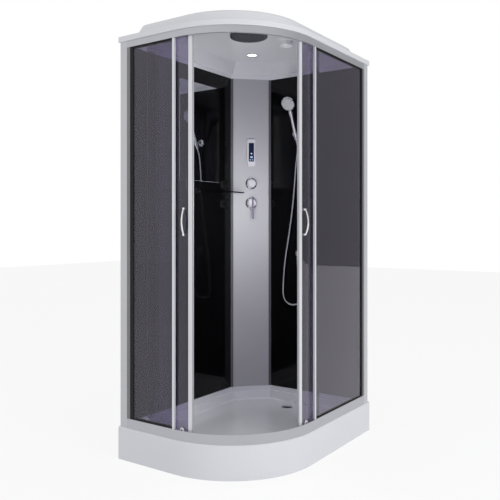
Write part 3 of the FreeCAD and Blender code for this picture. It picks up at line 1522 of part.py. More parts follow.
def make_handset():
    """Holder on the wall, tilting cradle, and the hand shower with its spray face and hose nut."""
    base = at_holder("holder_base")
    reach = "holder_reach"
    plate = new_sketch(base, "YZ_Plane")
    trace(
        plate,
        [
            (reach, "0"),
            (reach, "21"),
            (f"{reach} - 4", "21"),
            (f"{reach} - 7", "18"),
            (f"{reach} - 7", "10"),
            (f"{reach} - 20", "10"),
            (f"{reach} - 20", "0"),
        ],
    )
    revolve(base, plate, axis="H_Axis")
    cheeks = new_sketch(base, "XY_Plane", off="-6.5")
    for low, high in (("-12", "-7"), ("7", "12")):
        box_outline(cheeks, low, "-5.5", high, f"{reach} - 7")
    pad(base, cheeks, "13")
    pin = new_sketch(base, "YZ_Plane")
    ring(pin, "3")
    pad(base, pin, "24", middle=True)

    cradle = at_holder("holder_cradle")
    gap = "face_gap"
    along_handle(
        cradle,
        [
            (f"grip_radius + 1 + {gap}", "-10"),
            ("grip_radius + 5", "-10"),
            ("grip_radius + 5", "14"),
            (f"grip_radius + 1 + {gap}", "14"),
        ],
    )
    arm = new_sketch(cradle, "YZ_Plane", roll="handset_lean")
    box_outline(arm, "-handset_offset + grip_radius + 3", "-6", "0", "6")
    pad(cradle, arm, "13", middle=True)
    tongue = new_sketch(cradle, "YZ_Plane")
    ring(tongue, "7")
    pad(cradle, tongue, "13", middle=True)
    eye = new_sketch(cradle, "YZ_Plane", off="-8")
    ring(eye, "3 + running_gap")
    pocket(cradle, eye, "16", up=True)

    handset = at_holder("hand_shower")
    top = HEAD_OVER_PIVOT
    along_handle(
        handset,
        [
            ("0", "-handset_below"),
            ("grip_radius", "-handset_below"),
            ("grip_radius + 1", "-handset_below + 6"),
            ("grip_radius + 1", "20"),
            ("grip_radius", "60"),
            ("grip_radius", "90"),
            ("neck_radius", f"{top} - head_radius - 12"),
            ("neck_radius - 3", f"{top} - head_radius + 4"),
            ("neck_radius - 3", f"{top} - 12"),
            ("0", f"{top} - 12"),
        ],
    )
    about_head(
        handset,
        [
            ("-head_front", "0"),
            ("-head_front", "head_radius - 3"),
            ("3 - head_front", "head_radius"),
            ("8 - head_front", "head_radius"),
            ("head_back", "0.45 * head_radius"),
            ("head_back + 2", "0"),
        ],
    )
    face = at_holder("spray_face")
    about_head(
        face,
        [
            ("-head_front", "0"),
            ("-head_front - 1.5", "0"),
            ("-head_front - 1.5", "head_radius - 6"),
            ("-head_front", "head_radius - 4"),
        ],
    )
    nozzles = new_sketch(face, "YZ_Plane", shift=HEAD_Y, lift=HEAD_Z, roll="handset_lean + head_tilt")
    trace(
        nozzles,
        [
            ("-head_front - 2.6", "0.62 * head_radius"),
            ("-head_front - 2.6", "0.7 * head_radius"),
            ("-head_front - 1.5", "0.72 * head_radius"),
            ("-head_front - 1.5", "0.6 * head_radius"),
        ],
    )
    revolve(face, nozzles, axis="H_Axis")
    nut = at_holder("hose_top_nut")
    bottom = "-handset_below"
    along_handle(
        nut,
        [
            ("0", f"{bottom}"),
            ("0", f"{bottom} - nut_length"),
            ("hose_radius", f"{bottom} - nut_length"),
            ("hose_radius + 0.8", f"{bottom} - nut_length + 2"),
            ("grip_radius", f"{bottom} - 9"),
            ("grip_radius", f"{bottom}"),
        ],
    )


def make_outlet():
    """Wall elbow that feeds the hose, with its plate and the nut of the hose."""
    body = new_body("hose_elbow")
    place(body, "outlet_x", WALL_Y, "outlet_height")
    reach = "outlet_reach"
    stub = new_sketch(body, "YZ_Plane")
    trace(
        stub,
        [
            ("wall_skin + 12", "0"),
            ("wall_skin + 12", "pipe_radius"),
            ("0", "pipe_radius"),
            ("0", "17"),
            ("-2", "17"),
            ("-5", "12"),
            (f"-{reach} + 12", "8"),
            (f"-{reach}", "8"),
            (f"-{reach}", "0"),
        ],
    )
    revolve(body, stub, axis="H_Axis")
    down = new_sketch(body, "YZ_Plane", shift=f"-{reach}")
    trace(
        down,
        [
            ("0", "10"),
            ("-7", "9"),
            ("-9.5", "5"),
            ("-9.5", "-9"),
            ("-8.5", "-10"),
            ("-8.5", "-20"),
            ("-hose_radius", "-22"),
            ("0", "-22"),
        ],
    )
    revolve(body, down)


# Corners of the hanging hose from top to bottom and up again: X, distance to the wall, height.
HOSE_BENDS = [
    (-3, 21, 1475),
    (-12, 22, 1350),
    (-27, 21, 1210),
    (-50, 21, 1060),
    (-76, 22, 920),
    (-88, 22, 790),
    (-90.5, 22, 700),
    (-53, 23, 662.5),
    (0, 23, 662.5),
    (37.5, 23, 700),
    (36, 23, 790),
    (6, 24, 862),
]


def hose_corners():
    """The points between which the hose runs straight."""
    lean = math.radians(value("handset_lean"))
    offset, below = value("handset_offset"), value("handset_below + nut_length")
    x, y, z = value("holder_x"), value(f"{WALL_Y} - holder_reach"), value("holder_height")
    y += -offset * math.cos(lean) + below * math.sin(lean)
    z += -offset * math.sin(lean) - below * math.cos(lean)
    start = FreeCAD.Vector(x, y, z)
    end = FreeCAD.Vector(value("outlet_x"), value(f"{WALL_Y} - outlet_reach"), value("outlet_height - 22"))
    away = FreeCAD.Vector(0, math.sin(lean), -math.cos(lean))
    corners = [start, start + away * value("hose_lead")]
    for across, out, height in HOSE_BENDS:
        corners.append(FreeCAD.Vector(across, value(WALL_Y) - out, height))
    return corners + [end]


def make_hose():
    """Metal hose: straight runs joined by arcs, from the nut of the hand shower to the wall elbow."""
    corners = hose_corners()
    runs = [(after - before).Length for before, after in zip(corners, corners[1:])]
    edges = []
    here = corners[0]
    for index in range(1, len(corners) - 1):
        before = (corners[index - 1] - corners[index]).normalize()
        after = (corners[index + 1] - corners[index]).normalize()
        reach = 0.45 * min(runs[index - 1], runs[index])
        turn = math.pi - before.getAngle(after)
        radius = reach / math.tan(turn / 2)
        middle = (before + after).normalize()
        top = corners[index] + middle * (radius / math.cos(turn / 2) - radius)
        start, finish = corners[index] + before * reach, corners[index] + after * reach
        edges.append(Part.LineSegment(here, start).toShape())
        edges.append(Part.Arc(start, top, finish).toShape())
        print(f"hose bend {index}: radius {radius:.0f} mm, turn {math.degrees(turn):.0f} degrees")
        here = finish
    edges.append(Part.LineSegment(here, corners[-1]).toShape())
    wire = Part.Wire(edges)
    radius = value("hose_radius")
    section = Part.Wire(Part.Circle(corners[0], corners[1] - corners[0], radius).toShape())
    hose = doc.addObject("Part::Feature", "hose")
    hose.Shape = wire.makePipeShell([section], True, False)
    hose.Placement = FreeCAD.Placement()
    expected = math.pi * radius**2 * wire.Length
    print(f"hose: {wire.Length:.0f} mm long, volume {hose.Shape.Volume / expected:.4f} of its section times length")
    PARTS.append(hose)


def finish():
    """Checks every object and writes one file for each piece."""
    doc.recompute()
    failed = [thing.Name for thing in doc.Objects if {"Invalid", "Error"} & set(thing.State)]
    if failed:
        raise RuntimeError("failed objects: " + ", ".join(failed))
    os.makedirs("parts", exist_ok=True)
    for part in PARTS:
        if part.Shape.isNull() or not part.Shape.isValid():
            raise RuntimeError(f"{part.Label} has no valid shape")
        part.Shape.exportStep(f"parts/{part.Label}.step")
        box = part.Shape.BoundBox
        print(
            f"{part.Label}: {len(part.Shape.Solids)} solids, {part.Shape.Volume / 1000:.1f} cm3, "
            f"X {box.XMin:.1f} {box.XMax:.1f}, Y {box.YMin:.1f} {box.YMax:.1f}, Z {box.ZMin:.1f} {box.ZMax:.1f}"
        )


make_tray()
make_tray_frame()
make_drain()
make_walls()
make_column()
make_posts()
make_rails()
make_fixed_glass()
make_door("left", "left_door_at", -1)
make_door("right", "right_door_at", 1)
make_roof()
make_ceiling()
make_ceiling_fittings()
make_mirror_and_shelf()
make_panel()
make_valves()
make_valve_body()
make_pipes()
make_handset()
make_outlet()
make_hose()
finish()
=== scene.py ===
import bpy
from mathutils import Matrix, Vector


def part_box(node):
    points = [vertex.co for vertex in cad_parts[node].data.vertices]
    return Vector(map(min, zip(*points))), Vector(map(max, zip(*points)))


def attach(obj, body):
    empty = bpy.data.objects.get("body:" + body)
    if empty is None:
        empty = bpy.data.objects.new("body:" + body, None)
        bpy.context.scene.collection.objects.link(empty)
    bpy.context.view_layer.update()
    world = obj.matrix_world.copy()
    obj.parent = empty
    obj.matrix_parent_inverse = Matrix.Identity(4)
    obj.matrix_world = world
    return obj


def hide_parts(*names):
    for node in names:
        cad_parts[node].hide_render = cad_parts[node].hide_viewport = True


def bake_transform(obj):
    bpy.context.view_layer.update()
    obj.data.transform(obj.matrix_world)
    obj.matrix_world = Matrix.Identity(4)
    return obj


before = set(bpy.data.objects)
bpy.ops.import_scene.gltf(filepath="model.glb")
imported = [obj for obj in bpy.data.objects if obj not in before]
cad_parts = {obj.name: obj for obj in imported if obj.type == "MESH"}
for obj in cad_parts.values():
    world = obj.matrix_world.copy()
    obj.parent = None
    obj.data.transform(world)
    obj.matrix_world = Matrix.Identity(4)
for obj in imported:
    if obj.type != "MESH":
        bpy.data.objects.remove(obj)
"""Looks of a quadrant steam shower cabin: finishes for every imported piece, and its finest pieces.

Metres, +Z up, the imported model's own frame. The cabin stands on the floor, its rounded entry towards
high X and low Y.
"""
import logging
import math
from dataclasses import dataclass
from enum import Enum
from typing import Any, Dict, Optional, Sequence, Tuple

import bmesh
import bpy
from mathutils import Matrix, Vector
from mathutils.bvhtree import BVHTree

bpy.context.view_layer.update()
NODES: Dict[str, bpy.types.Object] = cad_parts
log = logging.getLogger("cabin")
Color = Tuple[float, float, float]
Point = Tuple[float, float, float]
UP = Vector((0, 0, 1))
NEARLY_UPRIGHT = 0.999


# ---------------------------------------------------------------- node trees


class Tree:
    """Thin helper over a node tree: adds nodes with settings and inputs, and links them."""

    def __init__(self, tree: bpy.types.NodeTree) -> None:
        """Wraps the shader or geometry tree to fill."""
        self.tree = tree

    def add(self, kind: str, inputs: Optional[Dict[Any, Any]] = None, **settings: Any) -> bpy.types.Node:
        """Adds a node.

        Args:
            kind: Blender's node type.
            inputs: socket name or index to a value or an output socket.
            settings: properties of the node.

        Returns:
            The new node.
        """
        node = self.tree.nodes.new(kind)
        for name, value in settings.items():
            setattr(node, name, value)
        for name, value in (inputs or {}).items():
            self.put(node.inputs[name], value)
        return node

    def put(self, socket: bpy.types.NodeSocket, value: Any) -> None:
        """Links an output socket to a socket, or sets its value.

        Args:
            socket: the input socket to fill.
            value: a plain value or an output socket.
        """
        if isinstance(value, bpy.types.NodeSocket):
            self.tree.links.new(value, socket)
        else:
            socket.default_value = value

    def math(self, operation: str, *values: Any) -> bpy.types.NodeSocket:
        """Adds a Math node.

        Args:
            operation: Blender's name of the operation.
            values: numbers or output sockets.

        Returns:
            Its output socket.
        """
        return self.add("ShaderNodeMath", dict(enumerate(values)), operation=operation).outputs[0]


def new_group(
    name: str, kind: str, takes: Sequence[tuple], gives: Sequence[tuple]
) -> Tuple[Tree, Dict[str, bpy.types.NodeSocket], bpy.types.Node]:
    """Makes a node group with named sockets.

    Args:
        name: the group's name.
        kind: "ShaderNodeTree" or "GeometryNodeTree".
        takes: (name, socket type, default or None) of each input.
        gives: (name, socket type) of each output.

    Returns:
        The tree helper, the sockets that the group takes, by name, and its output node.
    """
    group = bpy.data.node_groups.new(name, kind)
    for label, socket, default in takes:
        item = group.interface.new_socket(label, in_out="INPUT", socket_type=socket)
        if default is not None:
            item.default_value = default
    for label, socket in gives:
        group.interface.new_socket(label, in_out="OUTPUT", socket_type=socket)
    tree = Tree(group)
    given = tree.add("NodeGroupInput").outputs
    return tree, {label: given[label] for label, _, _ in takes}, tree.add("NodeGroupOutput")


FLOAT, COLOR, VECTOR = "NodeSocketFloat", "NodeSocketColor", "NodeSocketVector"
INTEGER, GEOMETRY, MATERIAL = "NodeSocketInt", "NodeSocketGeometry", "NodeSocketMaterial"


SHADER, SHAPES = "ShaderNodeTree", "GeometryNodeTree"
MIDDLE_OF_NOISE = 0.5


def mottle_group() -> bpy.types.NodeTree:
    """Soft, large patches that lighten and darken a colour a little.

    Returns:
        The group.
    """
    takes = [
        ("Vector", VECTOR, None),
        ("Color", COLOR, (1, 1, 1, 1)),
        ("Scale", FLOAT, 4.0),
        ("Amount", FLOAT, 0.05),
    ]
    tree, given, out = new_group("Soft Mottle", SHADER, takes, [("Color", COLOR), ("Mask", FLOAT)])
    look = {"Vector": given["Vector"], "Scale": given["Scale"], "Detail": 3.0, "Roughness": 0.55}
    noise = tree.add("ShaderNodeTexNoise", look)
    centred = tree.math("SUBTRACT", noise.outputs["Fac"], MIDDLE_OF_NOISE)
    swing = tree.math("MULTIPLY", centred, given["Amount"])
    lit = {0: given["Color"], "Scale": tree.math("ADD", swing, 1.0)}
    scaled = tree.add("ShaderNodeVectorMath", lit, operation="SCALE")
    tree.put(out.inputs["Color"], scaled.outputs[0])
    tree.put(out.inputs["Mask"], noise.outputs["Fac"])
    return tree.tree


def grain_group() -> bpy.types.NodeTree:
    """Brushed or drawn grain: fine lines along one direction.

    Returns:
        The group.
    """
    takes = [
        ("Vector", VECTOR, None),
        ("Fine", VECTOR, (900, 900, 6)),
        ("Roughness", FLOAT, 0.3),
        ("Spread", FLOAT, 0.1),
    ]
    tree, given, out = new_group("Drawn Grain", SHADER, takes, [("Height", FLOAT), ("Roughness", FLOAT)])
    lines = {0: given["Vector"], 1: given["Fine"]}
    stretched = tree.add("ShaderNodeVectorMath", lines, operation="MULTIPLY")
    noise = tree.add("ShaderNodeTexNoise", {"Vector": stretched.outputs[0], "Scale": 1.0, "Detail": 2.0})
    centred = tree.math("SUBTRACT", noise.outputs["Fac"], MIDDLE_OF_NOISE)
    swing = tree.math("MULTIPLY", centred, given["Spread"])
    tree.put(out.inputs["Height"], noise.outputs["Fac"])
    tree.put(out.inputs["Roughness"], tree.math("ADD", swing, given["Roughness"]))
    return tree.tree


def smear_group() -> bpy.types.NodeTree:
    """Faint handling marks and dried drops, as a change of roughness.

    Returns:
        The group.
    """
    takes = [
        ("Vector", VECTOR, None),
        ("Scale", FLOAT, 60.0),
        ("Roughness", FLOAT, 0.1),
        ("Amount", FLOAT, 0.05),
    ]
    tree, given, out = new_group("Faint Smears", SHADER, takes, [("Roughness", FLOAT), ("Mask", FLOAT)])
    look = {"Vector": given["Vector"], "Scale": given["Scale"], "Detail": 4.0}
    noise = tree.add("ShaderNodeTexNoise", look)
    marked = {"Value": noise.outputs["Fac"], "From Min": 0.52, "From Max": 0.72}
    mask = tree.add("ShaderNodeMapRange", marked, interpolation_type="SMOOTHSTEP")
    added = tree.math("MULTIPLY", mask.outputs[0], given["Amount"])
    tree.put(out.inputs["Roughness"], tree.math("ADD", added, given["Roughness"]))
    tree.put(out.inputs["Mask"], mask.outputs[0])
    return tree.tree


MOTTLE, GRAIN, SMEAR = mottle_group(), grain_group(), smear_group()


# ---------------------------------------------------------------- finishes


MADE: Dict[str, bpy.types.Material] = {}


class Drawn(Enum):
    """Which way a metal's grain runs; the values are lines to the metre along X, Y and Z."""

    UPRIGHT = (1400.0, 1400.0, 5.0)
    LEVEL = (9.0, 9.0, 1500.0)
    EVEN = (260.0, 260.0, 260.0)


@dataclass(frozen=True)
class Finish:
    """What every finish has.

    Args:
        name: name of the material.
        color: linear base colour.
        roughness: middle roughness.
    """

    name: str
    color: Color
    roughness: float

    def start(self) -> Tuple[bpy.types.Material, Tree, bpy.types.Node, bpy.types.NodeSocket]:
        """Makes an empty material under the finish's own name.

        Returns:
            The material, its tree, its Principled shader and the socket with the place on the piece.
        """
        material = bpy.data.materials.new(f"{self.name}_finish")
        material.use_nodes = True
        tree = Tree(material.node_tree)
        shader = material.node_tree.nodes["Principled BSDF"]
        place = tree.add("ShaderNodeTexCoord").outputs["Object"]
        return material, tree, shader, place

    @staticmethod
    def group(tree: Tree, which: bpy.types.NodeTree, **values: Any) -> bpy.types.Node:
        """Places a shared group in a material and fills its inputs, which are given by name."""
        return tree.add("ShaderNodeGroup", values, node_tree=which)

    def tinted(self, tree: Tree, shader: bpy.types.Node, place: Any, scale: float, amount: float) -> None:
        """Feeds the base colour through the mottle group."""
        patches = self.group(tree, MOTTLE, Vector=place, Color=(*self.color, 1), Scale=scale, Amount=amount)
        tree.put(shader.inputs["Base Color"], patches.outputs["Color"])

    def smeared(self, tree: Tree, shader: bpy.types.Node, place: Any, scale: float, amount: float) -> None:
        """Feeds the roughness through the smear group."""
        marks = self.group(tree, SMEAR, Vector=place, Scale=scale, Roughness=self.roughness, Amount=amount)
        tree.put(shader.inputs["Roughness"], marks.outputs["Roughness"])

    @staticmethod
    def bumped(tree: Tree, shader: bpy.types.Node, height: Any, distance: float, strength: float) -> None:
        """Feeds a height to the shader's normal."""
        bump = tree.add("ShaderNodeBump", {"Height": height, "Distance": distance, "Strength": strength})
        tree.put(shader.inputs["Normal"], bump.outputs["Normal"])

    def make(self) -> bpy.types.Material:
        """Builds the material; each kind of finish has its own way."""
        raise NotImplementedError

    def material(self) -> bpy.types.Material:
        """Gives the material, which is built once.

        Returns:
            The material.
        """
        if self.name not in MADE:
            MADE[self.name] = self.make()
        return MADE[self.name]


@dataclass(frozen=True)
class Acrylic(Finish):
    """Vacuum-formed acrylic: smooth and glossy, with the faint ripple of the sheet."""

    coat: float = 0.35
    coat_roughness: float = 0.06
    patches: Tuple[float, float] = (2.2, 0.035)
    smears: Tuple[float, float] = (3.0, 0.015)
    ripple_scale: float = 14.0
    ripple_depth: float = 0.0006
    ripple_strength: float = 0.08

    def make(self) -> bpy.types.Material:
        """Builds the material.

        Returns:
            The material.
        """
        material, tree, shader, place = self.start()
        self.tinted(tree, shader, place, *self.patches)
        self.smeared(tree, shader, place, *self.smears)
        waves = {"Vector": place, "Scale": self.ripple_scale, "Detail": 2.0}
        ripple = tree.add("ShaderNodeTexNoise", waves)
        self.bumped(tree, shader, ripple.outputs["Fac"], self.ripple_depth, self.ripple_strength)
        shader.inputs["Coat Weight"].default_value = self.coat
        shader.inputs["Coat Roughness"].default_value = self.coat_roughness
        return material


@dataclass(frozen=True)
class Metal(Finish):
    """Drawn, brushed, anodised or polished metal; the less metallic, the more it scatters."""

    drawn: Drawn = Drawn.UPRIGHT
    spread: float = 0.12
    relief: float = 0.05
    metallic: float = 1.0
    patches: Tuple[float, float] = (6.0, 0.06)
    line_depth: float = 0.0004

    def make(self) -> bpy.types.Material:
        """Builds the material.

        Returns:
            The material.
        """
        material, tree, shader, place = self.start()
        self.tinted(tree, shader, place, *self.patches)
        look = {"Fine": self.drawn.value, "Roughness": self.roughness, "Spread": self.spread}
        lines = self.group(tree, GRAIN, Vector=place, **look)
        tree.put(shader.inputs["Roughness"], lines.outputs["Roughness"])
        self.bumped(tree, shader, lines.outputs["Height"], self.line_depth, self.relief)
        shader.inputs["Metallic"].default_value = self.metallic
        return material


@dataclass(frozen=True)
class Pane(Finish):
    """Glass whose colour is what passes through it; lamps reach what is behind."""

    passes: float = 0.9
    bend: float = 1.5
    clear: float = 1.0
    patches: Tuple[float, float] = (1.6, 0.10)

    def make(self) -> bpy.types.Material:
        """Builds the material.

        Returns:
            The material.
        """
        material, tree, shader, place = self.start()
        self.tinted(tree, shader, place, *self.patches)
        shader.inputs["Transmission Weight"].default_value = self.clear
        shader.inputs["IOR"].default_value = self.bend
        shader.inputs["Roughness"].default_value = self.roughness
        thin = [math.sqrt(share) * self.passes for share in self.color]
        film = tree.add("ShaderNodeBsdfTransparent", {"Color": (*thin, 1)})
        shadow = tree.add("ShaderNodeLightPath").outputs["Is Shadow Ray"]
        both = tree.add("ShaderNodeMixShader", {0: shadow, 1: shader.outputs[0], 2: film.outputs[0]})
        tree.put(material.node_tree.nodes["Material Output"].inputs["Surface"], both.outputs[0])
        return material


@dataclass(frozen=True)
class Panel(Finish):
    """Dark back-painted panel with a polished face."""

    gloss: float = 0.35
    patches: Tuple[float, float] = (3.0, 0.25)
    smears: Tuple[float, float] = (9.0, 0.06)

    def make(self) -> bpy.types.Material:
        """Builds the material.

        Returns:
            The material.
        """
        material, tree, shader, place = self.start()
        self.tinted(tree, shader, place, *self.patches)
        self.smeared(tree, shader, place, *self.smears)
        shader.inputs["Specular IOR Level"].default_value = self.gloss
        return material


@dataclass(frozen=True)
class Moulded(Finish):
    """Moulded plastic or rubber with a fine spark-eroded grain."""

    pores: float = 900.0
    relief: float = 0.15
    pore_depth: float = 0.0003
    patches: Tuple[float, float] = (20.0, 0.12)
    smears: Tuple[float, float] = (80.0, 0.08)

    def make(self) -> bpy.types.Material:
        """Builds the material.

        Returns:
            The material.
        """
        material, tree, shader, place = self.start()
        self.tinted(tree, shader, place, *self.patches)
        grain = tree.add("ShaderNodeTexNoise", {"Vector": place, "Scale": self.pores, "Detail": 2.0})
        self.smeared(tree, shader, place, *self.smears)
        self.bumped(tree, shader, grain.outputs["Fac"], self.pore_depth, self.relief)
        return material


@dataclass(frozen=True)
class Glow(Finish):
    """A surface that shines by itself, with small brighter and darker cells."""

    strength: float = 1.0
    patches: Tuple[float, float] = (120.0, 0.10)
    cells: Tuple[float, float] = (160.0, 0.15)

    def make(self) -> bpy.types.Material:
        """Builds the material.

        Returns:
            The material.
        """
        material, tree, shader, place = self.start()
        self.tinted(tree, shader, place, *self.patches)
        scale, amount = self.cells
        cells = self.group(tree, MOTTLE, Vector=place, Color=(*self.color, 1), Scale=scale, Amount=amount)
        tree.put(shader.inputs["Emission Color"], cells.outputs["Color"])
        shader.inputs["Emission Strength"].default_value = self.strength
        shader.inputs["Roughness"].default_value = self.roughness
        return material


WHITE_ACRYLIC = Acrylic("white_acrylic", (0.69, 0.70, 0.735), 0.24)
CEILING_ACRYLIC = Acrylic("ceiling_acrylic", (0.62, 0.62, 0.66), 0.30, coat=0.15)
ALUMINIUM = Metal("pale_aluminium", (0.53, 0.535, 0.565), 0.38, metallic=0.15)
RAIL_ALUMINIUM = Metal("rail_aluminium", (0.47, 0.475, 0.51), 0.38, Drawn.LEVEL, metallic=0.55)
BRIGHT_ALUMINIUM = Metal("bright_aluminium", (0.70, 0.705, 0.74), 0.32, metallic=0.2)
SOFT_CHROME = Metal("soft_chrome", (0.88, 0.885, 0.89), 0.12, Drawn.EVEN, 0.04, 0.005, metallic=0.6)
COLUMN_SILVER = Metal("silver_column", (0.41, 0.41, 0.435), 0.42, Drawn.UPRIGHT, 0.10, 0.02, metallic=0.15)
DARK_TRIM = Metal("dark_trim", (0.11, 0.11, 0.12), 0.38, metallic=0.5)
CHROME = Metal("chrome", (0.88, 0.885, 0.89), 0.06, Drawn.EVEN, 0.04, 0.005)
SATIN_SILVER = Metal("satin_silver", (0.60, 0.60, 0.63), 0.34, Drawn.UPRIGHT, 0.08, 0.01, metallic=0.2)
DARK_CHROME = Metal("dark_chrome", (0.16, 0.175, 0.19), 0.22, Drawn.EVEN, 0.08, 0.02)
HOSE_METAL = Metal("hose_metal", (0.70, 0.71, 0.73), 0.16, Drawn.EVEN, 0.08, 0.02)
ZINC_STEEL = Metal("zinc_steel", (0.38, 0.39, 0.41), 0.45, Drawn.EVEN, 0.2, 0.1)
BRASS = Metal("brass", (0.62, 0.45, 0.20), 0.30, Drawn.EVEN, 0.15, 0.05)
MIRROR = Metal("mirror", (0.72, 0.74, 0.76), 0.015, Drawn.EVEN, 0.01, 0.0)
SMOKED_GLASS = Pane("smoked_glass", (0.37, 0.335, 0.47), 0.0, bend=1.48, clear=0.97)
CLEAR_GLASS = Pane("clear_glass", (0.86, 0.90, 0.90), 0.0, passes=0.95)
BLACK_WALL = Panel("black_wall", (0.0022, 0.0022, 0.0026), 0.08, gloss=0.20)
DISPLAY_GLASS = Panel("black_display", (0.008, 0.012, 0.035), 0.08, gloss=0.4)
RUBBER = Moulded("black_rubber", (0.002, 0.002, 0.003), 0.8)
# painted shade: grey laid over the glass channel beside each post, darkening aluminium that is the same as
# the lighter inner channel
PAINTED_SHADE_STRIP = Moulded("painted_shade_strip", (0.185, 0.185, 0.20), 0.5)
NOZZLE_RUBBER = Moulded("nozzle_rubber", (0.028, 0.03, 0.034), 0.5)
GREY_PLASTIC = Moulded("grey_plastic", (0.42, 0.43, 0.45), 0.35)
SEAL_VINYL = Moulded("seal_vinyl", (0.42, 0.42, 0.45), 0.42)
# painted shade: near-black for hollows, laid as bars on the drain cover for its slots and on the knob for
# its pointer
PAINTED_HOLLOW_SHADE = Moulded("painted_hollow_shade", (0.010, 0.010, 0.012), 0.7)
WHITE_PLASTIC = Moulded("white_plastic", (0.80, 0.80, 0.83), 0.30)
LIGHT_LENS = Glow("light_lens", (1.0, 0.985, 0.95), 0.3, strength=3.0)
DISPLAY_MARKS = Glow("display_marks", (0.55, 0.72, 1.0), 0.3, strength=0.9)


def painted(mesh: bpy.types.Mesh, finish: Finish) -> None:
    """Gives a whole mesh one finish.

    Args:
        mesh: the mesh.
        finish: its only finish.
    """
    mesh.materials.clear()
    mesh.materials.append(finish.material())
    mesh.polygons.foreach_set("material_index", [0] * len(mesh.polygons))


def dress(finishes: Dict[str, Finish]) -> None:
    """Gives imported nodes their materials.

    Args:
        finishes: node name to its finish.
    """
    for name, finish in finishes.items():
        painted(NODES[name].data, finish)
        log.info("node %s: %s", name, finish.name)


# ---------------------------------------------------------------- shaping helpers


def keep(mesh: bpy.types.Mesh, name: str, finish: Finish, body: str) -> bpy.types.Object:
    """Puts a finished mesh in the scene, at the origin, on a body.

    Args:
        mesh: the mesh, in place.
        name: the piece's name.
        finish: its finish.
        body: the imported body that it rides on.

    Returns:
        The new object.
    """
    piece = bpy.data.objects.new(name, mesh)
    bpy.context.scene.collection.objects.link(piece)
    painted(mesh, finish)
    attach(piece, body)
    log.info("piece %s on %s: %d faces", name, body, len(mesh.polygons))
    return piece


def plain(holder: bpy.types.Object) -> bpy.types.Mesh:
    """Turns an object with its modifiers, a text or a curve into a plain mesh, and removes the object.

    Args:
        holder: an object that isn't in the scene yet.

    Returns:
        The plain mesh.
    """
    bpy.context.scene.collection.objects.link(holder)
    bpy.context.view_layer.update()
    graph = bpy.context.evaluated_depsgraph_get()
    mesh = bpy.data.meshes.new_from_object(holder.evaluated_get(graph), depsgraph=graph)
    bpy.data.objects.remove(holder)
    return mesh


def grown(
    source: bpy.types.ID, group: bpy.types.NodeTree, values: Dict[str, Any], place: Matrix
) -> bpy.types.Mesh:
    """Runs a geometry tree on an object made for it, and gives the result as a plain mesh in place.

    Args:
        source: mesh or curve data that the tree starts from.
        group: the geometry tree.
        values: input name to value.
        place: where the result goes.

    Returns:
        The plain mesh.
    """
    holder = bpy.data.objects.new(group.name, source)
    modifier = holder.modifiers.new("Grow", "NODES")
    modifier.node_group = group
    for item in group.interface.items_tree:
        if item.in_out == "INPUT" and item.name in values:
            modifier[item.identifier] = values[item.name]
    mesh = plain(holder)
    mesh.transform(place)
    return mesh


def facing(centre: Vector, outward: Vector) -> Matrix:
    """A frame at a point with its Z along a direction.

    Args:
        centre: origin of the frame.
        outward: direction of its Z; its Y leans upwards.

    Returns:
        The matrix.
    """
    z = outward.normalized()
    x = UP.cross(z).normalized() if abs(UP.dot(z)) < NEARLY_UPRIGHT else Vector((1, 0, 0))
    return Matrix.Translation(centre) @ Matrix((x, z.cross(x), z)).transposed().to_4x4()


def touch(node: str, start: Vector, heading: Vector) -> Vector:
    """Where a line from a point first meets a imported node.

    Args:
        node: the node's name.
        start: point outside the node.
        heading: direction of the line.

    Returns:
        The point on the node's surface.
    """
    mesh = NODES[node].data
    tree = BVHTree.FromPolygons([v.co for v in mesh.vertices], [p.vertices[:] for p in mesh.polygons])
    hit = tree.ray_cast(start, heading.normalized())[0]
    if hit is None:
        raise ValueError(f"no surface of {node} on that line")
    return hit


def finished(tree: Tree, given: Dict[str, bpy.types.NodeSocket], out: bpy.types.Node, shape: Any) -> None:
    """Ends a geometry tree: makes its instances real and gives them the material.

    Args:
        tree: the geometry tree.
        given: the sockets that the group takes, with "Material" among them.
        out: the group's output node.
        shape: the geometry socket to end in.
    """
    real = tree.add("GeometryNodeRealizeInstances", {"Geometry": shape})
    coat = {"Geometry": real.outputs[0], "Material": given["Material"]}
    tree.put(out.inputs[0], tree.add("GeometryNodeSetMaterial", coat).outputs[0])


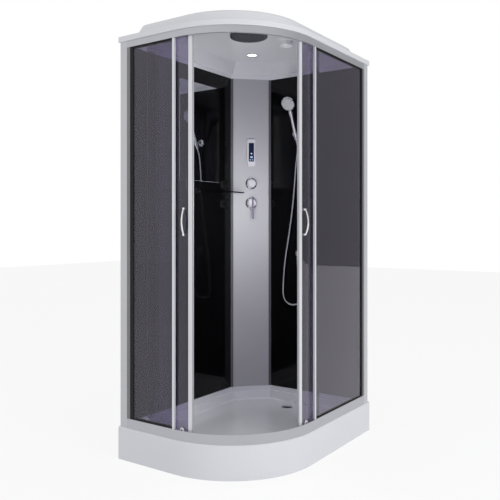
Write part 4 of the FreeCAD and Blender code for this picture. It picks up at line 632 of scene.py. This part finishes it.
def nozzle_rings() -> bpy.types.NodeTree:
    """Geometry tree: nozzles on rings, six more on each ring, round an empty middle.

    Ring n holds 6 n nozzles, so rings 1 to n hold 3 n (n + 1), and a nozzle's ring comes from its
    number by solving that for n.

    Returns:
        The tree.
    """
    per_ring, twist, slack, taper, sides = 6.0, 0.137, 1e-4, 0.55, 8
    takes = [
        ("Geometry", GEOMETRY, None),
        ("Rings", INTEGER, 6),
        ("First Ring", INTEGER, 1),
        ("Spacing", FLOAT, 0.01),
        ("Radius", FLOAT, 0.001),
        ("Height", FLOAT, 0.001),
        ("Material", MATERIAL, None),
    ]
    tree, given, out = new_group("Nozzle Rings", SHAPES, takes, [("Geometry", GEOMETRY)])

    def times(first: Any, second: Any) -> bpy.types.NodeSocket:
        """Multiplies two numbers of the tree."""
        return tree.math("MULTIPLY", first, second)

    def within(ring: Any) -> bpy.types.NodeSocket:
        """How many nozzles stand on the rings inside this one."""
        return times(times(ring, tree.math("SUBTRACT", ring, 1.0)), per_ring / 2)

    rings, first = given["Rings"], given["First Ring"]
    total = times(times(rings, tree.math("ADD", rings, 1.0)), per_ring / 2)
    skipped = within(first)
    points = tree.add("GeometryNodePoints", {"Count": tree.math("SUBTRACT", total, skipped)})
    index = tree.add("GeometryNodeInputIndex").outputs[0]
    number = tree.math("ADD", tree.math("ADD", index, skipped), 1.0)
    root = tree.math("SQRT", tree.math("ADD", times(number, per_ring * 2), (per_ring / 2) ** 2))
    exact = tree.math("DIVIDE", tree.math("SUBTRACT", root, per_ring / 2), per_ring)
    ring = tree.math("CEIL", tree.math("SUBTRACT", exact, slack))
    share = tree.math("DIVIDE", tree.math("SUBTRACT", number, within(ring)), times(ring, per_ring))
    angle = times(tree.math("ADD", share, times(ring, twist)), math.tau)
    reach = times(ring, given["Spacing"])
    across = {0: times(reach, tree.math("COSINE", angle)), 1: times(reach, tree.math("SINE", angle))}
    place = tree.add("ShaderNodeCombineXYZ", across)
    spots = {"Geometry": points.outputs[0], "Position": place.outputs[0]}
    spread = tree.add("GeometryNodeSetPosition", spots)
    cone = {
        "Vertices": sides,
        "Radius Top": times(given["Radius"], taper),
        "Radius Bottom": given["Radius"],
        "Depth": given["Height"],
    }
    tip = tree.add("GeometryNodeMeshCone", cone)
    each = {"Points": spread.outputs[0], "Instance": tip.outputs[0]}
    finished(tree, given, out, tree.add("GeometryNodeInstanceOnPoints", each).outputs[0])
    return tree.tree


def wound_hose() -> bpy.types.NodeTree:
    """Geometry tree: a tube along a curve, wound with a shallow spiral rib.

    Returns:
        The tree.
    """
    takes = [
        ("Geometry", GEOMETRY, None),
        ("Radius", FLOAT, 0.005),
        ("Rib", FLOAT, 0.0004),
        ("Pitch", FLOAT, 0.004),
        ("Step", FLOAT, 0.0008),
        ("Sides", INTEGER, 14),
        ("Material", MATERIAL, None),
    ]
    tree, given, out = new_group("Wound Hose", SHAPES, takes, [("Geometry", GEOMETRY)])

    def measured(curve: bpy.types.NodeSocket, label: str, kind: str) -> bpy.types.Node:
        """Keeps how far along a curve each point is.

        Args:
            curve: the curve.
            label: name of what is kept.
            kind: "Length", or "Factor" for a share of the whole.

        Returns:
            The node, with the curve first and the distance second.
        """
        node = tree.add("GeometryNodeCaptureAttribute")
        node.capture_items.new("FLOAT", label)
        tree.put(node.inputs[0], curve)
        tree.put(node.inputs[1], tree.add("GeometryNodeSplineParameter").outputs[kind])
        return node

    spaced = {"Curve": given["Geometry"], "Length": given["Step"]}
    even = tree.add("GeometryNodeResampleCurve", spaced, mode="LENGTH")
    along = measured(even.outputs[0], "Along", "Length")
    bare = {"Resolution": given["Sides"], "Radius": tree.math("SUBTRACT", given["Radius"], given["Rib"])}
    circle = tree.add("GeometryNodeCurvePrimitiveCircle", bare)
    around = measured(circle.outputs[0], "Around", "Factor")
    run = {"Curve": along.outputs[0], "Profile Curve": around.outputs[0], "Fill Caps": True}
    tube = tree.add("GeometryNodeCurveToMesh", run)
    turns = tree.math("ADD", tree.math("DIVIDE", along.outputs[1], given["Pitch"]), around.outputs[1])
    wave = tree.math("SINE", tree.math("MULTIPLY", turns, math.tau))
    normal = tree.add("GeometryNodeInputNormal").outputs[0]
    lift = {0: normal, "Scale": tree.math("MULTIPLY", wave, given["Rib"])}
    offset = tree.add("ShaderNodeVectorMath", lift, operation="SCALE")
    moved = {"Geometry": tube.outputs[0], "Offset": offset.outputs[0]}
    wound = tree.add("GeometryNodeSetPosition", moved)
    smooth = tree.add("GeometryNodeSetShadeSmooth", {"Geometry": wound.outputs[0]})
    finished(tree, given, out, smooth.outputs[0])
    return tree.tree


def round_row() -> bpy.types.NodeTree:
    """Geometry tree: three or more copies of a small shape on a circle, each turned outwards.

    Returns:
        The tree.
    """
    takes = [
        ("Geometry", GEOMETRY, None),
        ("Count", INTEGER, 8),
        ("Radius", FLOAT, 0.02),
        ("Material", MATERIAL, None),
    ]
    tree, given, out = new_group("Round Row", SHAPES, takes, [("Geometry", GEOMETRY)])
    circle = tree.add("GeometryNodeMeshCircle", {"Vertices": given["Count"], "Radius": given["Radius"]})
    place = tree.add("GeometryNodeInputPosition").outputs[0]
    outwards = tree.add("FunctionNodeAlignRotationToVector", {"Vector": place}, axis="X")
    each = {"Points": circle.outputs[0], "Instance": given["Geometry"], "Rotation": outwards.outputs[0]}
    finished(tree, given, out, tree.add("GeometryNodeInstanceOnPoints", each).outputs[0])
    return tree.tree


def round_ribs() -> bpy.types.NodeTree:
    """Geometry tree: round ribs one inside the other, such as louvres round an air outlet.

    Returns:
        The tree.
    """
    around, section_sides = 64, 8
    takes = [
        ("Geometry", GEOMETRY, None),
        ("Count", INTEGER, 4),
        ("First", FLOAT, 0.01),
        ("Spacing", FLOAT, 0.005),
        ("Thickness", FLOAT, 0.001),
        ("Material", MATERIAL, None),
    ]
    tree, given, out = new_group("Round Ribs", SHAPES, takes, [("Geometry", GEOMETRY)])
    points = tree.add("GeometryNodePoints", {"Count": given["Count"]})
    index = tree.add("GeometryNodeInputIndex").outputs[0]
    reach = tree.math("ADD", tree.math("MULTIPLY", index, given["Spacing"]), given["First"])
    wide = tree.add("ShaderNodeCombineXYZ", {0: reach, 1: reach, 2: 1.0})
    circle = tree.add("GeometryNodeCurvePrimitiveCircle", {"Resolution": around, "Radius": 1.0})
    each = {"Points": points.outputs[0], "Instance": circle.outputs[0], "Scale": wide.outputs[0]}
    placed = tree.add("GeometryNodeInstanceOnPoints", each)
    real = tree.add("GeometryNodeRealizeInstances", {0: placed.outputs[0]})
    round_wire = {"Resolution": section_sides, "Radius": given["Thickness"]}
    section = tree.add("GeometryNodeCurvePrimitiveCircle", round_wire)
    wired = {"Curve": real.outputs[0], "Profile Curve": section.outputs[0]}
    finished(tree, given, out, tree.add("GeometryNodeCurveToMesh", wired).outputs[0])
    return tree.tree


def taken(shape: bmesh.types.BMesh, name: str) -> bpy.types.Mesh:
    """Turns mesh code's working shape into a mesh, and frees it.

    Args:
        shape: the working shape.
        name: the mesh's name.

    Returns:
        The mesh.
    """
    mesh = bpy.data.meshes.new(name)
    shape.to_mesh(mesh)
    shape.free()
    return mesh


def middle_of(node: str) -> Vector:
    """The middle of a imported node's box."""
    low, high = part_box(node)
    return (low + high) / 2


def bar(length: float, width: float, height: float) -> bpy.types.Mesh:
    """A long flat bar with rounded ends, along X, resting on the plane it stands on.

    Args:
        length: along X.
        width: along Y.
        height: along Z.

    Returns:
        The mesh.
    """
    shape = bmesh.new()
    half, run, steps = width / 2, (length - width) / 2, 6
    outline = []
    for sign in (1, -1):
        for step in range(steps + 1):
            angle = -math.pi / 2 + math.pi * step / steps
            outline.append((sign * (run + half * math.cos(angle)), sign * half * math.sin(angle)))
    face = shape.faces.new([shape.verts.new((x, y, 0)) for x, y in outline])
    top = bmesh.ops.extrude_face_region(shape, geom=[face])["geom"]
    raised = [part for part in top if isinstance(part, bmesh.types.BMVert)]
    bmesh.ops.translate(shape, vec=(0, 0, height), verts=raised)
    bmesh.ops.recalc_face_normals(shape, faces=shape.faces)
    return taken(shape, "bar")


# ---------------------------------------------------------------- sub-assemblies


@dataclass
class TrayBase:
    """Tray, its frame, feet and drain."""

    slots: int = 10
    slot_length: float = 0.010
    slot_width: float = 0.0026
    slot_height: float = 0.0004
    slot_sunk: float = 0.0001
    slot_reach: float = 0.020
    above: float = 0.05

    def build(self, row: bpy.types.NodeTree) -> None:
        """Makes near-black bars on the drain's cover, painted shade that stands for its slots.

        Args:
            row: the tree that sets shapes on a circle.
        """
        middle, top = middle_of("drain_cover"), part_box("drain_cover")[1].z
        start = Vector((middle.x + self.slot_reach, middle.y, top + self.above))
        edge = touch("drain_cover", start, -UP)
        # painted shade: the bars stand a little proud of the cover where its slots would be dark
        values = {"Count": self.slots, "Radius": self.slot_reach, "Material": PAINTED_HOLLOW_SHADE.material()}
        source = bar(self.slot_length, self.slot_width, self.slot_height)
        place = Matrix.Translation((middle.x, middle.y, edge.z - self.slot_sunk))
        keep(grown(source, row, values, place), "drain_slot_shade", PAINTED_HOLLOW_SHADE, "cabin")

    def dress(self) -> None:
        """Gives the base its finishes."""
        dress(
            {
                "tray": WHITE_ACRYLIC,
                "tray_frame": ZINC_STEEL,
                "levelling_feet": ZINC_STEEL,
                "drain_cover": CHROME,
                "drain_trap": GREY_PLASTIC,
            }
        )


@dataclass
class Enclosure:
    """Walls, column, posts, rails, fixed glass and roof."""

    channel_wide: float = 0.020
    bead_wide: float = 0.0225
    bead_narrow: float = 0.007
    bead_height: float = 0.0029
    strip_height: float = 0.0008
    edge_channel: float = 0.012
    shoulder: float = 0.85
    crown: float = 0.05

    def build(self) -> None:
        """Makes the beads round three sides of each fixed pane, and the strips of painted shade on the
        channels beside the posts.
        """
        bottom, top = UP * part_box("bottom_rail")[1].z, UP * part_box("top_rail")[0].z
        x, y = Vector((1, 0, 0)), Vector((0, 1, 0))
        glass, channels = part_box("left_fixed_glass"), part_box("left_glass_channels")
        run = (x * channels[0].x, x * (channels[1].x - self.edge_channel), x)
        self.edge("left", run, y * glass[0].y, y * channels[0].y, -y, bottom, top)
        glass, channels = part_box("right_fixed_glass"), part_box("right_glass_channels")
        run = (y * channels[1].y, y * (channels[0].y + self.edge_channel), -y)
        self.edge("right", run, x * glass[1].x, x * channels[1].x, x, bottom, top)

    def edge(
        self,
        side: str,
        run: Tuple[Vector, Vector, Vector],
        face: Vector,
        skin: Vector,
        out: Vector,
        bottom: Vector,
        top: Vector,
    ) -> None:
        """Makes the bead and the painted shade strip of one fixed pane.

        Args:
            side: "left" or "right".
            run: where the post ends and the pane's free edge starts, and the way from one to the other.
            face: place of the pane's outer face.
            skin: place of the channel's outer face.
            out: the way outwards.
            bottom: height of the pane's foot.
            top: height of the pane's head.
        """
        post, free, inward = run
        seam = post + inward * self.channel_wide
        after = seam + inward * self.bead_wide
        beads = (
            (face + seam + bottom, face + seam + top, inward, self.bead_wide),
            (face + after + top, face + free + top, -UP, self.bead_narrow),
            (face + after + bottom, face + free + bottom, UP, self.bead_narrow),
        )
        # painted shade: a thin grey strip on the channel's outer face beside the post
        strip = ((skin + post + bottom, skin + post + top, inward, self.channel_wide),)
        self.strips(f"{side}_pane_bead", beads, out * self.bead_height, RUBBER)
        self.strips(f"{side}_post_shade_strip", strip, out * self.strip_height, PAINTED_SHADE_STRIP)

    def strips(self, name: str, runs: Sequence[tuple], rise: Vector, finish: Finish) -> None:
        """Makes one piece of straight strips with softened edges.

        Args:
            name: the piece's name.
            runs: start, end, direction across and width of each strip.
            rise: how far and which way the strips stand out.
            finish: the piece's finish.
        """
        left, right = self.crown, 1 - self.crown
        profile = ((0, 0), (1, 0), (1, self.shoulder), (right, 1), (left, 1), (0, self.shoulder))
        shape = bmesh.new()
        for start, end, across, width in runs:
            offsets = [across * (a * width) + rise * b for a, b in profile]
            near, far = ([shape.verts.new(point + offset) for offset in offsets] for point in (start, end))
            for index in range(len(profile)):
                after = (index + 1) % len(profile)
                shape.faces.new((near[index], near[after], far[after], far[index]))
            shape.faces.new(near[::-1])
            shape.faces.new(far)
        bmesh.ops.recalc_face_normals(shape, faces=shape.faces)
        keep(taken(shape, name), name, finish, "cabin")

    def dress(self) -> None:
        """Gives the enclosure its finishes."""
        dress(
            {
                "long_wall_panel": BLACK_WALL,
                "short_wall_panel": BLACK_WALL,
                "corner_column": COLUMN_SILVER,
                "column_edge_trims": DARK_TRIM,
                "left_post": ALUMINIUM,
                "right_post": ALUMINIUM,
                "bottom_rail": RAIL_ALUMINIUM,
                "top_rail": RAIL_ALUMINIUM,
                "left_fixed_glass": SMOKED_GLASS,
                "right_fixed_glass": SMOKED_GLASS,
                "left_glass_channels": BRIGHT_ALUMINIUM,
                "right_glass_channels": BRIGHT_ALUMINIUM,
                "glass_gaskets": RUBBER,
                "roof": WHITE_ACRYLIC,
                "ceiling_panel": CEILING_ACRYLIC,
            }
        )


@dataclass
class Doors:
    """Both curved doors, their handles, carriers and rollers."""

    def dress(self) -> None:
        """Gives the doors their finishes."""
        for side in ("left", "right"):
            dress(
                {
                    f"{side}_door_glass": SMOKED_GLASS,
                    f"{side}_door_profile": BRIGHT_ALUMINIUM,
                    f"{side}_door_seals": SEAL_VINYL,
                    f"{side}_door_handle": CHROME,
                    f"{side}_door_carriers": CHROME,
                }
            )
            for level in ("top", "bottom"):
                for place in ("leading", "trailing"):
                    dress({f"{side}_{level}_{place}_roller": WHITE_PLASTIC})


@dataclass
class Controls:
    """Panel, knob, mixer and what is behind them."""

    digits: str = "38"
    digit_height: float = 0.015
    digit_line: float = -0.034
    key_radius: float = 0.0034
    key_line: float = -0.045
    key_gap: float = 0.012
    cross_line: float = -0.008
    cross_size: float = 0.011
    stroke: float = 0.0016
    stroke_height: float = 0.0001
    digit_depth: float = 0.00005
    clearance: float = 0.0002
    away: float = 0.1
    pointer_length: float = 0.007
    pointer_height: float = 0.0003
    pointer_reach: float = 0.0145
    ring_steps: int = 24
    ring_hole: float = 0.72

    def build(self) -> None:
        """Makes what shines through the display, and the knob's pointer."""
        outward = Vector((1, -1, 0)).normalized()
        face = touch("control_display", middle_of("control_display") + outward * self.away, -outward)
        shape = bmesh.new()
        self.gather(shape, self.figures(), Matrix.Translation((0, self.digit_line, 0)))
        for sign in (-1, 1):
            place = Matrix.Translation((sign * self.key_gap / 2, self.key_line, 0))
            self.gather(shape, self.ring(self.key_radius), place)
        for turn in (0, math.pi / 2):
            place = Matrix.Translation((0, self.cross_line, 0)) @ Matrix.Rotation(turn, 4, "Z")
            self.gather(shape, bar(self.cross_size, self.stroke, self.stroke_height), place)
        marks = taken(shape, "display_marks")
        marks.transform(facing(face + outward * self.clearance, outward))
        keep(marks, "display_marks", DISPLAY_MARKS, "cabin")
        tip = touch("diverter_knob", middle_of("diverter_knob") + outward * self.away, -outward)
        # the pointer is a near-black bar in the painted hollow-shade finish, laid proud of the knob's tip
        pointer = bar(self.pointer_length, self.stroke, self.pointer_height)
        upright = Matrix.Rotation(math.pi / 2, 4, "Z")
        pointer.transform(facing(tip, outward) @ Matrix.Translation((0, self.pointer_reach, 0)) @ upright)
        keep(pointer, "knob_pointer", PAINTED_HOLLOW_SHADE, "diverter_knob")

    def figures(self) -> bpy.types.Mesh:
        """The display's digits, lying flat.

        Returns:
            The mesh.
        """
        text = bpy.data.curves.new("digits", "FONT")
        text.body, text.size = self.digits, self.digit_height
        text.extrude, text.align_x = self.digit_depth, "CENTER"
        return plain(bpy.data.objects.new("digits", text))

    def ring(self, radius: float) -> bpy.types.Mesh:
        """A thin flat ring, as round a touch key.

        Args:
            radius: outer radius.

        Returns:
            The mesh.
        """
        shape = bmesh.new()
        inner, outer = [], []
        for step in range(self.ring_steps):
            angle = math.tau * step / self.ring_steps
            way = Vector((math.cos(angle), math.sin(angle), 0))
            inner.append(shape.verts.new(way * radius * self.ring_hole))
            outer.append(shape.verts.new(way * radius))
        for step in range(self.ring_steps):
            after = (step + 1) % self.ring_steps
            shape.faces.new((inner[step], outer[step], outer[after], inner[after]))
        return taken(shape, "ring")

    @staticmethod
    def gather(shape: bmesh.types.BMesh, mesh: bpy.types.Mesh, place: Matrix) -> None:
        """Adds a mesh, set in place, to a working shape."""
        mesh.transform(place)
        shape.from_mesh(mesh)

    def dress(self) -> None:
        """Gives the controls their finishes."""
        dress(
            {
                "control_bezel": SATIN_SILVER,
                "control_display": DISPLAY_GLASS,
                "diverter_knob": SOFT_CHROME,
                "mixer_body": SOFT_CHROME,
                "mixer_lever": CHROME,
                "valve_escutcheons": CHROME,
                "valve_body": BRASS,
                "supply_pipes": CHROME,
            }
        )


@dataclass
class WallFittings:
    """Mirror, shelf and its brackets."""

    def dress(self) -> None:
        """Gives the fittings their finishes."""
        dress({"mirror": MIRROR, "shelf_glass": CLEAR_GLASS, "shelf_brackets": CHROME})


@dataclass
class CeilingFittings:
    """Rain shower, light and air outlet."""

    nozzle_radius: float = 0.0022
    nozzle_height: float = 0.0022
    spacing: float = 0.0095
    rings: int = 8
    sunk: float = 0.95
    vent_ribs: int = 4
    vent_first: float = 0.009
    vent_spacing: float = 0.0055
    vent_wire: float = 0.0009
    vent_lift: float = 0.0004

    def dress(self) -> None:
        """Gives the ceiling fittings their finishes."""
        dress(
            {
                "rain_head": DARK_CHROME,
                "light_bezel": CHROME,
                "light_lens": LIGHT_LENS,
                "vent_cover": WHITE_PLASTIC,
            }
        )

    def build(self, rings: bpy.types.NodeTree, ribs: bpy.types.NodeTree) -> None:
        """Makes the nozzles of the rain shower and the louvres of the air outlet.

        Args:
            rings: the nozzle tree.
            ribs: the tree of round ribs.
        """
        middle = middle_of("vent_cover")
        middle.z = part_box("vent_cover")[0].z + self.vent_lift
        values = {
            "Count": self.vent_ribs,
            "First": self.vent_first,
            "Spacing": self.vent_spacing,
            "Thickness": self.vent_wire,
            "Material": WHITE_PLASTIC.material(),
        }
        mesh = grown(bpy.data.meshes.new("vent"), ribs, values, Matrix.Translation(middle))
        keep(mesh, "vent_louvres", WHITE_PLASTIC, "cabin")
        middle = middle_of("rain_head")
        middle.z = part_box("rain_head")[0].z + self.nozzle_height * self.sunk
        values = {
            "Rings": self.rings,
            "First Ring": 1,
            "Spacing": self.spacing,
            "Radius": self.nozzle_radius,
            "Height": self.nozzle_height,
            "Material": NOZZLE_RUBBER.material(),
        }
        mesh = grown(bpy.data.meshes.new("rain"), rings, values, facing(middle, -UP))
        keep(mesh, "rain_nozzles", NOZZLE_RUBBER, "cabin")


@dataclass
class HandShower:
    """Hand shower on its holder, with its hose."""

    hose_radius: float = 0.0055
    rib: float = 0.00045
    pitch: float = 0.0042
    length: float = 1.291
    step: float = 0.0008
    sides: int = 14
    smoothness: int = 24
    face_lean: float = 30.0
    away: float = 0.05
    spray_rings: int = 4
    spray_spacing: float = 0.0078
    spray_radius: float = 0.0019
    spray_height: float = 0.0016
    spray_sunk: float = 0.0006
    route: Sequence[Point] = (
        (0.008, 0.433376, 1.589462),
        (0.008, 0.449326, 1.552780),
        (-0.003, 0.446, 1.475),
        (-0.012, 0.445, 1.350),
        (-0.027, 0.446, 1.210),
        (-0.050, 0.446, 1.060),
        (-0.076, 0.445, 0.920),
        (-0.088, 0.445, 0.790),
        (-0.0905, 0.445, 0.700),
        (-0.053, 0.444, 0.6625),
        (0.000, 0.444, 0.6625),
        (0.0375, 0.444, 0.700),
        (0.036, 0.444, 0.790),
        (0.006, 0.443, 0.862),
        (0.006, 0.443, 0.939),
    )

    def dress(self) -> None:
        """Gives the hand shower its finishes."""
        dress(
            {
                "holder_base": CHROME,
                "holder_cradle": CHROME,
                "hand_shower": CHROME,
                "spray_face": GREY_PLASTIC,
                "hose_top_nut": CHROME,
                "hose_elbow": CHROME,
            }
        )

    def build(self, rings: bpy.types.NodeTree, hose: bpy.types.NodeTree) -> None:
        """Makes the spray nozzles and the hose.

        Args:
            rings: the nozzle tree.
            hose: the hose tree.
        """
        lean = math.radians(self.face_lean)
        outward = Vector((0, -math.cos(lean), -math.sin(lean)))
        face = touch("spray_face", middle_of("spray_face") + outward * self.away, -outward)
        values = {
            "Rings": self.spray_rings,
            "First Ring": 1,
            "Spacing": self.spray_spacing,
            "Radius": self.spray_radius,
            "Height": self.spray_height,
            "Material": NOZZLE_RUBBER.material(),
        }
        place = facing(face - outward * self.spray_sunk, outward)
        mesh = grown(bpy.data.meshes.new("spray"), rings, values, place)
        keep(mesh, "spray_nozzles", NOZZLE_RUBBER, "hand_shower")
        self.make_hose(hose)

    def make_hose(self, hose: bpy.types.NodeTree) -> None:
        """Args:
            hose: the hose tree.
        """
        curve = bpy.data.curves.new("hose_route", "CURVE")
        curve.dimensions = "3D"
        spline = curve.splines.new("NURBS")
        spline.points.add(len(self.route) - 1)
        for point, place in zip(spline.points, self.route):
            point.co = (*place, 1)
        spline.order_u = 3
        spline.use_endpoint_u = True
        curve.resolution_u = self.smoothness
        line = plain(bpy.data.objects.new("hose_route", curve))
        values = {
            "Radius": self.hose_radius,
            "Rib": self.rib,
            "Pitch": self.pitch,
            "Step": self.step,
            "Sides": self.sides,
            "Material": HOSE_METAL.material(),
        }
        tube = bpy.data.objects.new("shower_hose", grown(curve, hose, values, Matrix.Identity(4)))
        painted(tube.data, HOSE_METAL)
        bpy.context.scene.collection.objects.link(tube)
        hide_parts("hose")
        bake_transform(tube)
        log.info("piece shower_hose: %d faces", len(tube.data.polygons))


@dataclass
class Studio:
    """Floor, lamps and camera."""

    camera_place: Point = (1.8725, -2.7334, 1.1001)
    camera_turn: float = 0.6041
    focal_pixels: float = 648.65
    horizon_pixels: float = 227.81
    picture: float = 500.0
    inner_place: Point = (0.04, -0.06, 1.22)
    inner_size: float = 0.2
    inner_power: float = 14.0
    lamps: Sequence[Tuple[str, Point, float, float]] = (
        ("right_lamp", (4.3, -1.0, 2.0), 3.0, 93.0),
        ("left_lamp", (-2.4, -4.0, 1.5), 3.2, 40.0),
        ("top_lamp", (0.3, -0.4, 4.8), 3.2, 14.0),
    )
    lamp_target: Point = (0.0, 0.0, 1.0)
    sensor: float = 36.0
    far: float = 60.0
    floor_reach: float = 14.0
    floor_drop: float = 0.0005
    floor_color: Tuple[float, float, float, float] = (0.80, 0.80, 0.81, 1)
    floor_roughness: float = 0.9
    floor_gloss: float = 0.1
    floor_shine: float = 0.88
    world_plain: float = 0.55
    world_axis: Point = (-0.57, -0.82, 0.0)
    world_darkest: float = 0.35
    world_from: Tuple[float, float] = (-0.8, 0.7)

    def build(self) -> None:
        """Makes the floor, the world, the lamps and the camera."""
        self.floor()
        self.world()
        for name, place, size, power in self.lamps:
            lamp = bpy.data.lights.new(name, "AREA")
            lamp.size, lamp.energy = size, power
            aim = Vector(self.lamp_target) - Vector(place)
            self.hang(lamp, place).rotation_euler = aim.to_track_quat("-Z", "Y").to_euler()
        glow = bpy.data.lights.new("cabin_light", "POINT")
        glow.shadow_soft_size, glow.energy = self.inner_size, self.inner_power
        self.hang(glow, self.inner_place)
        self.camera()
        bpy.context.scene.view_settings.view_transform = "Standard"

    @staticmethod
    def hang(light: bpy.types.Light, place: Point) -> bpy.types.Object:
        """Puts a light in the scene, where gloss and glass don't show its shape.

        Args:
            light: the light.
            place: where it hangs.

        Returns:
            Its object.
        """
        holder = bpy.data.objects.new(light.name, light)
        holder.location = place
        holder.visible_glossy = False
        holder.visible_transmission = False
        bpy.context.scene.collection.objects.link(holder)
        return holder

    def camera(self) -> None:
        """Makes the camera, which sees the photograph's frame."""
        data = bpy.data.cameras.new("camera")
        data.sensor_width = self.sensor
        data.lens = self.focal_pixels / self.picture * data.sensor_width
        data.shift_y = (self.horizon_pixels - self.picture / 2) / self.picture
        data.clip_end = self.far
        camera = bpy.data.objects.new("camera", data)
        camera.location = self.camera_place
        camera.rotation_euler = (math.pi / 2, 0.0, self.camera_turn)
        bpy.context.scene.collection.objects.link(camera)
        bpy.context.scene.camera = camera

    @staticmethod
    def seen(tree: Tree) -> bpy.types.NodeSocket:
        """Tells rays that only look: from the camera, off gloss and through glass.

        Args:
            tree: the material's tree.

        Returns:
            A socket that is one for such rays.
        """
        path = tree.add("ShaderNodeLightPath")
        first = tree.math("MAXIMUM", path.outputs["Is Camera Ray"], path.outputs["Is Glossy Ray"])
        return tree.math("MAXIMUM", first, path.outputs["Is Transmission Ray"])

    def floor(self) -> None:
        """Makes the pale floor that keeps the cabin's shadow."""
        mesh = bpy.data.meshes.new("floor")
        reach, drop = self.floor_reach, -self.floor_drop
        corners = [(x * reach, y * reach, drop) for x, y in ((-1, -1), (1, -1), (1, 1), (-1, 1))]
        mesh.from_pydata(corners, [], [(0, 1, 2, 3)])
        material = bpy.data.materials.new("floor")
        material.use_nodes = True
        tree = Tree(material.node_tree)
        shader = material.node_tree.nodes["Principled BSDF"]
        shader.inputs["Base Color"].default_value = self.floor_color
        shader.inputs["Roughness"].default_value = self.floor_roughness
        shader.inputs["Specular IOR Level"].default_value = self.floor_gloss
        glow = tree.add("ShaderNodeEmission", {"Color": (1, 1, 1, 1), "Strength": 1.0})
        share = tree.math("MULTIPLY", self.seen(tree), self.floor_shine)
        both = tree.add("ShaderNodeMixShader", {0: share, 1: shader.outputs[0], 2: glow.outputs[0]})
        tree.put(material.node_tree.nodes["Material Output"].inputs["Surface"], both.outputs[0])
        mesh.materials.append(material)
        floor = bpy.data.objects.new("floor", mesh)
        bpy.context.scene.collection.objects.link(floor)

    def world(self) -> None:
        """Makes the soft surroundings: white where they are seen, plain light elsewhere.

        Gloss shows them darker on the right-hand side of the back, so that polished faces have shape.
        """
        world = bpy.data.worlds.new("studio")
        bpy.context.scene.world = world
        world.use_nodes = True
        tree = Tree(world.node_tree)
        background = world.node_tree.nodes["Background"]
        background.inputs["Color"].default_value = (1, 1, 1, 1)
        path = tree.add("ShaderNodeLightPath").outputs
        direct = tree.math("MAXIMUM", path["Is Camera Ray"], path["Is Transmission Ray"])
        around = tree.add("ShaderNodeTexCoord").outputs["Generated"]
        toward = tree.add("ShaderNodeVectorMath", {0: around, 1: self.world_axis}, operation="DOT_PRODUCT")
        low, high = self.world_from
        bright = {"Value": toward.outputs["Value"], "From Min": low, "From Max": high}
        side = tree.add("ShaderNodeMapRange", {**bright, "To Min": self.world_darkest, "To Max": 1.0})
        seen_more = tree.math("MULTIPLY", direct, 1.0 - self.world_plain)
        everywhere = tree.math("ADD", seen_more, self.world_plain)
        mixed = {"Factor": path["Is Glossy Ray"], "A": everywhere, "B": side.outputs[0]}
        tree.put(background.inputs["Strength"], tree.add("ShaderNodeMix", mixed).outputs[0])


def main() -> None:
    """Builds the cabin's looks in order and reports each piece."""
    rings, hose, row, ribs = nozzle_rings(), wound_hose(), round_row(), round_ribs()
    shower = HandShower()
    Studio().build()
    shower.build(rings, hose)
    shower.dress()
    tray, enclosure, controls, ceiling = TrayBase(), Enclosure(), Controls(), CeilingFittings()
    tray.build(row)
    enclosure.build()
    controls.build()
    ceiling.build(rings, ribs)
    for assembly in (tray, enclosure, Doors(), controls, WallFittings(), ceiling):
        assembly.dress()


if __name__ == "__main__":
    logging.basicConfig(level=logging.INFO, format="%(name)s: %(message)s")
    main()
